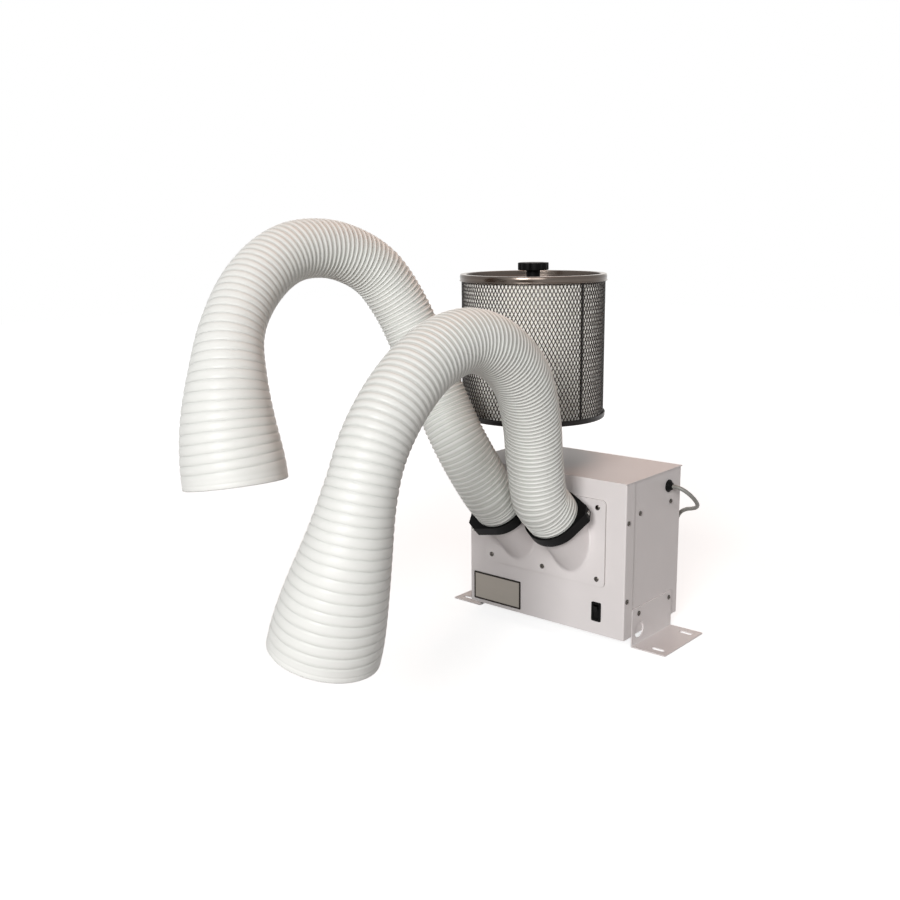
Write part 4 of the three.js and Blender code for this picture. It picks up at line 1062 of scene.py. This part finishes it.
    def knob(self):
        """A lobed knob: rings whose radius falls by a power of a cosine between the lobes, with a round upper
        edge, on a plain stem."""
        low, high = span("filter_knob")
        top, foot = high[2], low[2]
        head = foot + self.stem_height
        angle = turns(192)
        lobe = np.abs(np.cos(self.lobes / 2 * angle)) ** 0.6
        stem_r, head_r = [11, 11, 11.6], [23.4, 24.6, 25.0, 25.0, 24.7, 24.0, 18.8]
        z = [foot, head - 1.2, head, head, head + 0.3, head + 1, top - 1.2, top - 0.4, top, top]
        depth = np.array([0] * len(stem_r) + [self.lobe_depth] * 6 + [1.4])[:, None]
        r = np.array(stem_r + head_r)[:, None] - depth * (1 - lobe)
        shape = capped(polar(r, angle, np.array(z)[:, None]))
        self.on_axis("lobed_knob", shape, moulded_plastic(), "filter_knob", body="knob")

    def neck(self):
        """The outlet neck: a flanged tube with a seat ring, turned from a closed profile."""
        low, high = span("outlet_neck")
        foot, top = low[2], high[2]
        seat = span("filter_gasket")[0][2] - SEAT
        bore, tube, rest, flange = 36.5, 38, 41.5, 43
        profile = [
            [bore, foot], [flange, foot], [flange, foot + 2], [tube, foot + 2], [tube, seat - 4],
            [rest, seat - 4], [rest, seat], [tube, seat], [tube, top], [bore, top],
        ]
        shape = hoop(turned(rounded(profile, 0.6, 3), 96))
        self.on_axis("turned_outlet_neck", shape, powder_coat(), "outlet_neck", body="cabinet")

    def execute(self, context):
        self.caps()
        self.screen()
        self.paper()
        self.knob()
        self.neck()
        return {"FINISHED"}


class EXTRACTOR_OT_front(bpy.types.Operator):
    """Makes the rocker switch and the blank nameplate on the front"""

    bl_idname = "extractor.front"
    bl_label = "Switch and nameplate"

    bezel_corner = 2.2
    rocker_tilt, rocker_half_wide, rocker_half_tall = np.radians(9), 3.9, 10.1
    rocker_face, rocker_dip, rocker_back, rocker_slope = 3.5, 1.75, 3.4, 7.2
    rocker_edge, rocker_edge_share = 0.5, 0.94

    def bezel(self, low, high):
        """A rounded rectangle drawn in by insets at their depths: round the rim and in to a pocket."""
        front = low[1]
        insets = [2.0, 0.0, 0.0, 0.5, 1.4, 2.8, 3.7, 4.0, 4.0]
        depths = [high[1], *(front + np.array([1.6, 0.5, 0.1, 0, 0, 0.2, 0.8, 9]))]
        outline = rounded(rectangle(low[0], high[0], low[2], high[2]), self.bezel_corner, 4)
        middle, half = ((high + low) / 2)[[0, 2]], ((high - low) / 2)[[0, 2]]
        flat = middle + (outline - middle) * (half - np.array(insets)[:, None, None]) / half
        rings = stacked(flat[..., 0], np.array(depths)[:, None], flat[..., 1])
        piece("switch_bezel", capped(rings), moulded_plastic(), "switch_housing")

    def rocker(self, low, high):
        """A section carried across: its face dips as a parabola between its ends, its back slopes away to
        them, and it is tilted about its pin."""
        tilt, width, tall = self.rocker_tilt, self.rocker_half_wide, self.rocker_half_tall
        v = np.linspace(-1, 1, 25)
        face = -self.rocker_face + self.rocker_dip * (1 - v**2)
        back = self.rocker_back - self.rocker_slope * np.clip(np.abs(v) - 0.5, 0, None)
        section = np.concatenate([np.stack([face, v * tall], -1), np.stack([back, v * tall], -1)[::-1]])
        section = section @ np.array([[np.cos(tilt), np.sin(tilt)], [-np.sin(tilt), np.cos(tilt)]])
        across = np.array([-width, -width + self.rocker_edge, width - self.rocker_edge, width])[:, None]
        share = np.array([self.rocker_edge_share, 1, 1, self.rocker_edge_share])[:, None]
        y, z = (section[:, i] * share for i in (0, 1))
        pin = (low + high) / 2 * [1, 0, 1] + COVER_LOW * Y
        rings = pin + stacked(across, y, z)
        piece("rocker_cap", capped(rings[::-1]), moulded_plastic(), "switch_rocker", body="rocker")

    def execute(self, context):
        housing = span("switch_housing")
        self.bezel(*housing)
        self.rocker(*housing)
        low, high = span("nameplate")
        piece("blank_nameplate", front_plate(low, high, 2, 4, 0.2), brushed_plate(low, high), "nameplate")
        return {"FINISHED"}


class EXTRACTOR_OT_screws(bpy.types.Operator):
    """Makes the pan-head screws of the plate, the cover, the sides and the feet"""

    bl_idname = "extractor.screws"
    bl_label = "Screws"

    head_radius, head_height, crown, sides = 4.0, 2.4, 1.3, 48
    recess_half, recess_reach, recess_depth, recess_run = 0.42, 2.3, 1.1, 3.2
    shank_radius, shank_end, head_foot = 2.0, -7.0, 0.3
    shown = 2.7

    def head(self):
        """A pan head: the height falls with the square of the distance from the middle, and a cross recess is
        sunk where either coordinate is small; a short shank is behind it."""
        radius = self.head_radius
        r = np.array([0.02, 0.5, 0.9, 1.3, 1.7, 2.1, 2.6, 3.1, 3.5, 3.8, radius, radius])[:, None]
        head = polar(r, turns(self.sides), self.head_height - self.crown * (r / radius) ** 2)
        cross = (np.abs(head[..., :2]) < self.recess_half).any(-1) & (r < self.recess_reach)
        head[..., 2] -= cross * self.recess_depth * (1 - r / self.recess_run)
        head[-1, :, 2] = self.head_foot
        shank = turned([[self.shank_radius, self.shank_end], [self.shank_radius, self.head_foot]], self.sides)
        return capped(np.concatenate([shank, head[::-1]]))

    def execute(self, context):
        plate_nodes = [f"inlet_plate_screw_{i}" for i in range(1, 7)]
        side_nodes = [f"{kind}_screw_{i}" for kind in ("cover", "side", "foot") for i in (1, 2)]
        head = self.head()
        shapes = []
        for node in plate_nodes:
            x, _, z = np.mean(span(node), 0)
            shapes.append(seated(head, [x, PLATE_LOW[1], z], X, Z, -Y))
        for node in side_nodes:
            _, y, z = np.mean(span(node), 0)
            right = seated(head, [span(node)[1][0] - self.shown, y, z], Y, Z, X)
            shapes += [right, mirrored(right)]
        # The screw heads' dark grey is painted dark reflection.
        piece("pan_head_screws", joined(*shapes), reflection_darkened(), *plate_nodes, *side_nodes)
        return {"FINISHED"}


class EXTRACTOR_OT_inner_works(bpy.types.Operator):
    """Gives the blower, motor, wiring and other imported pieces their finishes"""

    bl_idname = "extractor.inner_works"
    bl_label = "Blower and other packed pieces"

    def execute(self, context):
        finishes = {
            galvanised: ("blower_scroll", "blower_wheel", "blower_cradle", "blower_stand", "filter_core"),
            dark_enamel: ("motor_body",),
            drawn_aluminium: ("motor_end_cap", "run_capacitor"),
            zinc: ("motor_shaft", "filter_rod"),
            moulded_plastic: ("terminal_block",),
            foam_rubber: ("inlet_gasket",),
            solid_rubber: ("filter_gasket",),
        }
        for material, nodes in finishes.items():
            for node in nodes:
                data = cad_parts[node].data
                data.materials.clear()
                data.materials.append(material())
        return {"FINISHED"}


class EXTRACTOR_OT_stage(bpy.types.Operator):
    """Sets the floor, the soft studio lights, the white surroundings and the camera"""

    bl_idname = "extractor.stage"
    bl_label = "Stage"

    focal_pixels, frame_pixels, sensor, far_clip = 1075.1, 900, 36, 50
    eye = np.array([954.6, -1430.2, 648.7])
    yaw, pitch, roll = np.radians([40.478, 11.996, -0.562])
    floor_half, floor_drop = 6000.0, 0.2
    floor_plain, floor_pale = 0.4, 0.5
    room_light = 0.1
    aim = np.array([-20.0, -250, 280])
    # Name, kind, place, power, tint, and how far its light spreads
    lamps = (
        ("Left key light", "AREA", [3173, -9023, 3864], 660, "#fffefe", {"size": 2.8}),
        ("Right key light", "AREA", [6465, -6966, 3864], 205, "#fffefe", {"size": 2.8}),
        ("Back fill", "SUN", [-1400, 1900, 1500], 0.3, "#fff4e6", {"angle": np.radians(60)}),
        ("Warm top light", "AREA", [-100, 500, 2000], 5.5, "#ff9238", {"size": 1.2}),
    )

    def put(self, context, name, data, axes, place):
        """A camera or lamp at a place in millimetres, with its own axes along three directions."""
        made = bpy.data.objects.new(name, data)
        turn = np.eye(4)
        turn[:3] = np.stack([*axes, np.array(place) * MM], 1)
        made.matrix_world = Matrix(turn.tolist())
        context.scene.collection.objects.link(made)
        return made

    def camera(self, context):
        """Looks along a heading and a pitch, with a small roll about the line of sight."""
        s, c = np.sin(self.yaw), np.cos(self.yaw)
        back = np.array([s * np.cos(self.pitch), -c * np.cos(self.pitch), np.sin(self.pitch)])
        right = np.array([c, s, 0])
        up = np.cross(back, right)
        tilted_right = np.cos(self.roll) * right + np.sin(self.roll) * up
        tilted_up = -np.sin(self.roll) * right + np.cos(self.roll) * up
        data = bpy.data.cameras.new("Camera")
        data.sensor_width = self.sensor
        data.lens = self.sensor * self.focal_pixels / self.frame_pixels
        data.clip_end = self.far_clip
        context.scene.camera = self.put(context, "Camera", data, (tilted_right, tilted_up, back), self.eye)

    def lamp(self, context, name, kind, place, power, tint, spread):
        """A soft light that faces the aim."""
        data = bpy.data.lights.new(name, kind)
        data.energy = power
        data.color = linear(tint)
        for setting, value in spread.items():
            setattr(data, setting, value)
        back = np.array(place, float) - self.aim
        back /= np.linalg.norm(back)
        side = np.cross(Z, back)
        side /= np.linalg.norm(side)
        self.put(context, name, data, (side, np.cross(back, side), back), place)

    def seen_white(self, tree):
        """1 for rays from the camera and for mirror and glass rays, which see plain white; 0 for others."""
        path = add(tree, "ShaderNodeLightPath").outputs
        seen = path["Is Camera Ray"]
        for ray in ("Is Glossy Ray", "Is Transmission Ray"):
            seen = add(tree, "ShaderNodeMath", {0: seen, 1: path[ray]}, operation="MAXIMUM").outputs[0]
        return seen

    def surroundings(self, context):
        """White where it is seen, and a dim neutral light for everything else."""
        world = bpy.data.worlds.new("White room")
        context.scene.world = world
        tree = empty_tree(world)
        neutral = {"Color": (*linear("#f4f3f1"), 1), "Strength": self.room_light}
        dim = add(tree, "ShaderNodeBackground", neutral)
        white = add(tree, "ShaderNodeBackground", {"Color": (1, 1, 1, 1), "Strength": 1.0})
        ends = {0: self.seen_white(tree), 1: dim.outputs[0], 2: white.outputs[0]}
        both = add(tree, "ShaderNodeMixShader", ends)
        add(tree, "ShaderNodeOutputWorld", {"Surface": both.outputs[0]})

    def floor(self):
        """A pale floor. Where it is seen it also glows, more so from 0.5 to 2 m away, so that it is white
        outside the soft shadow."""
        material = bpy.data.materials.new("pale studio floor")
        tree = empty_tree(material)
        plain, pale = (
            add(tree, "ShaderNodeBsdfDiffuse", {"Color": (level, level, level, 1)}).outputs[0]
            for level in (self.floor_plain, self.floor_pale)
        )
        place = add(tree, "ShaderNodeTexCoord").outputs["Object"]
        away = add(tree, "ShaderNodeVectorMath", {0: place}, operation="LENGTH").outputs["Value"]
        growth = {"From Min": 0.5, "From Max": 2.0, "To Min": 0.8, "To Max": 1.0}
        level = add(tree, "ShaderNodeMapRange", {"Value": away, **growth}).outputs["Result"]
        glow = add(tree, "ShaderNodeEmission", {"Color": (1, 1, 1, 1), "Strength": level})
        lit = add(tree, "ShaderNodeAddShader", {0: pale, 1: glow.outputs[0]})
        both = add(tree, "ShaderNodeMixShader", {0: self.seen_white(tree), 1: plain, 2: lit.outputs[0]})
        add(tree, "ShaderNodeOutputMaterial", {"Surface": both.outputs[0]})
        half = self.floor_half
        points = np.c_[np.array(rectangle(-half, half, -half, half)), np.full(4, -self.floor_drop)]
        piece("floor", (points, [np.arange(4)[None]]), material, ride=False)

    def execute(self, context):
        context.scene.view_settings.view_transform = "Standard"
        self.camera(context)
        self.surroundings(context)
        self.floor()
        for lamp in self.lamps:
            self.lamp(context, *lamp)
        return {"FINISHED"}


class EXTRACTOR_PT_panel(bpy.types.Panel):
    """Lists the extractor's settings and the steps that build it"""

    bl_idname = "EXTRACTOR_PT_panel"
    bl_label = "Fume extractor"
    bl_space_type = "VIEW_3D"
    bl_region_type = "UI"
    bl_category = "Extractor"

    def draw(self, context):
        for group in (context.scene.extractor_sizes, context.scene.extractor_colours):
            column = self.layout.column()
            for name in group.__annotations__:
                column.prop(group, name)
        for step in STEPS:
            self.layout.operator(step.bl_idname)


STEPS = (
    EXTRACTOR_OT_stage,
    EXTRACTOR_OT_cord,
    EXTRACTOR_OT_cabinet,
    EXTRACTOR_OT_inlets,
    EXTRACTOR_OT_hoses,
    EXTRACTOR_OT_filter,
    EXTRACTOR_OT_front,
    EXTRACTOR_OT_screws,
    EXTRACTOR_OT_inner_works,
)
CLASSES = (ExtractorColours, ExtractorSizes, *STEPS, EXTRACTOR_PT_panel)


def register():
    """Makes the settings, the steps and the panel known to Blender."""
    for kind in CLASSES:
        bpy.utils.register_class(kind)
    bpy.types.Scene.extractor_colours = PointerProperty(type=ExtractorColours)
    bpy.types.Scene.extractor_sizes = PointerProperty(type=ExtractorSizes)


def unregister():
    """Takes them out again."""
    del bpy.types.Scene.extractor_sizes
    del bpy.types.Scene.extractor_colours
    for kind in reversed(CLASSES):
        bpy.utils.unregister_class(kind)


def main():
    """Builds everything in order."""
    register()
    for step in STEPS:
        group, name = step.bl_idname.split(".")
        getattr(getattr(bpy.ops, group), name)()


if __name__ == "__main__":
    main()
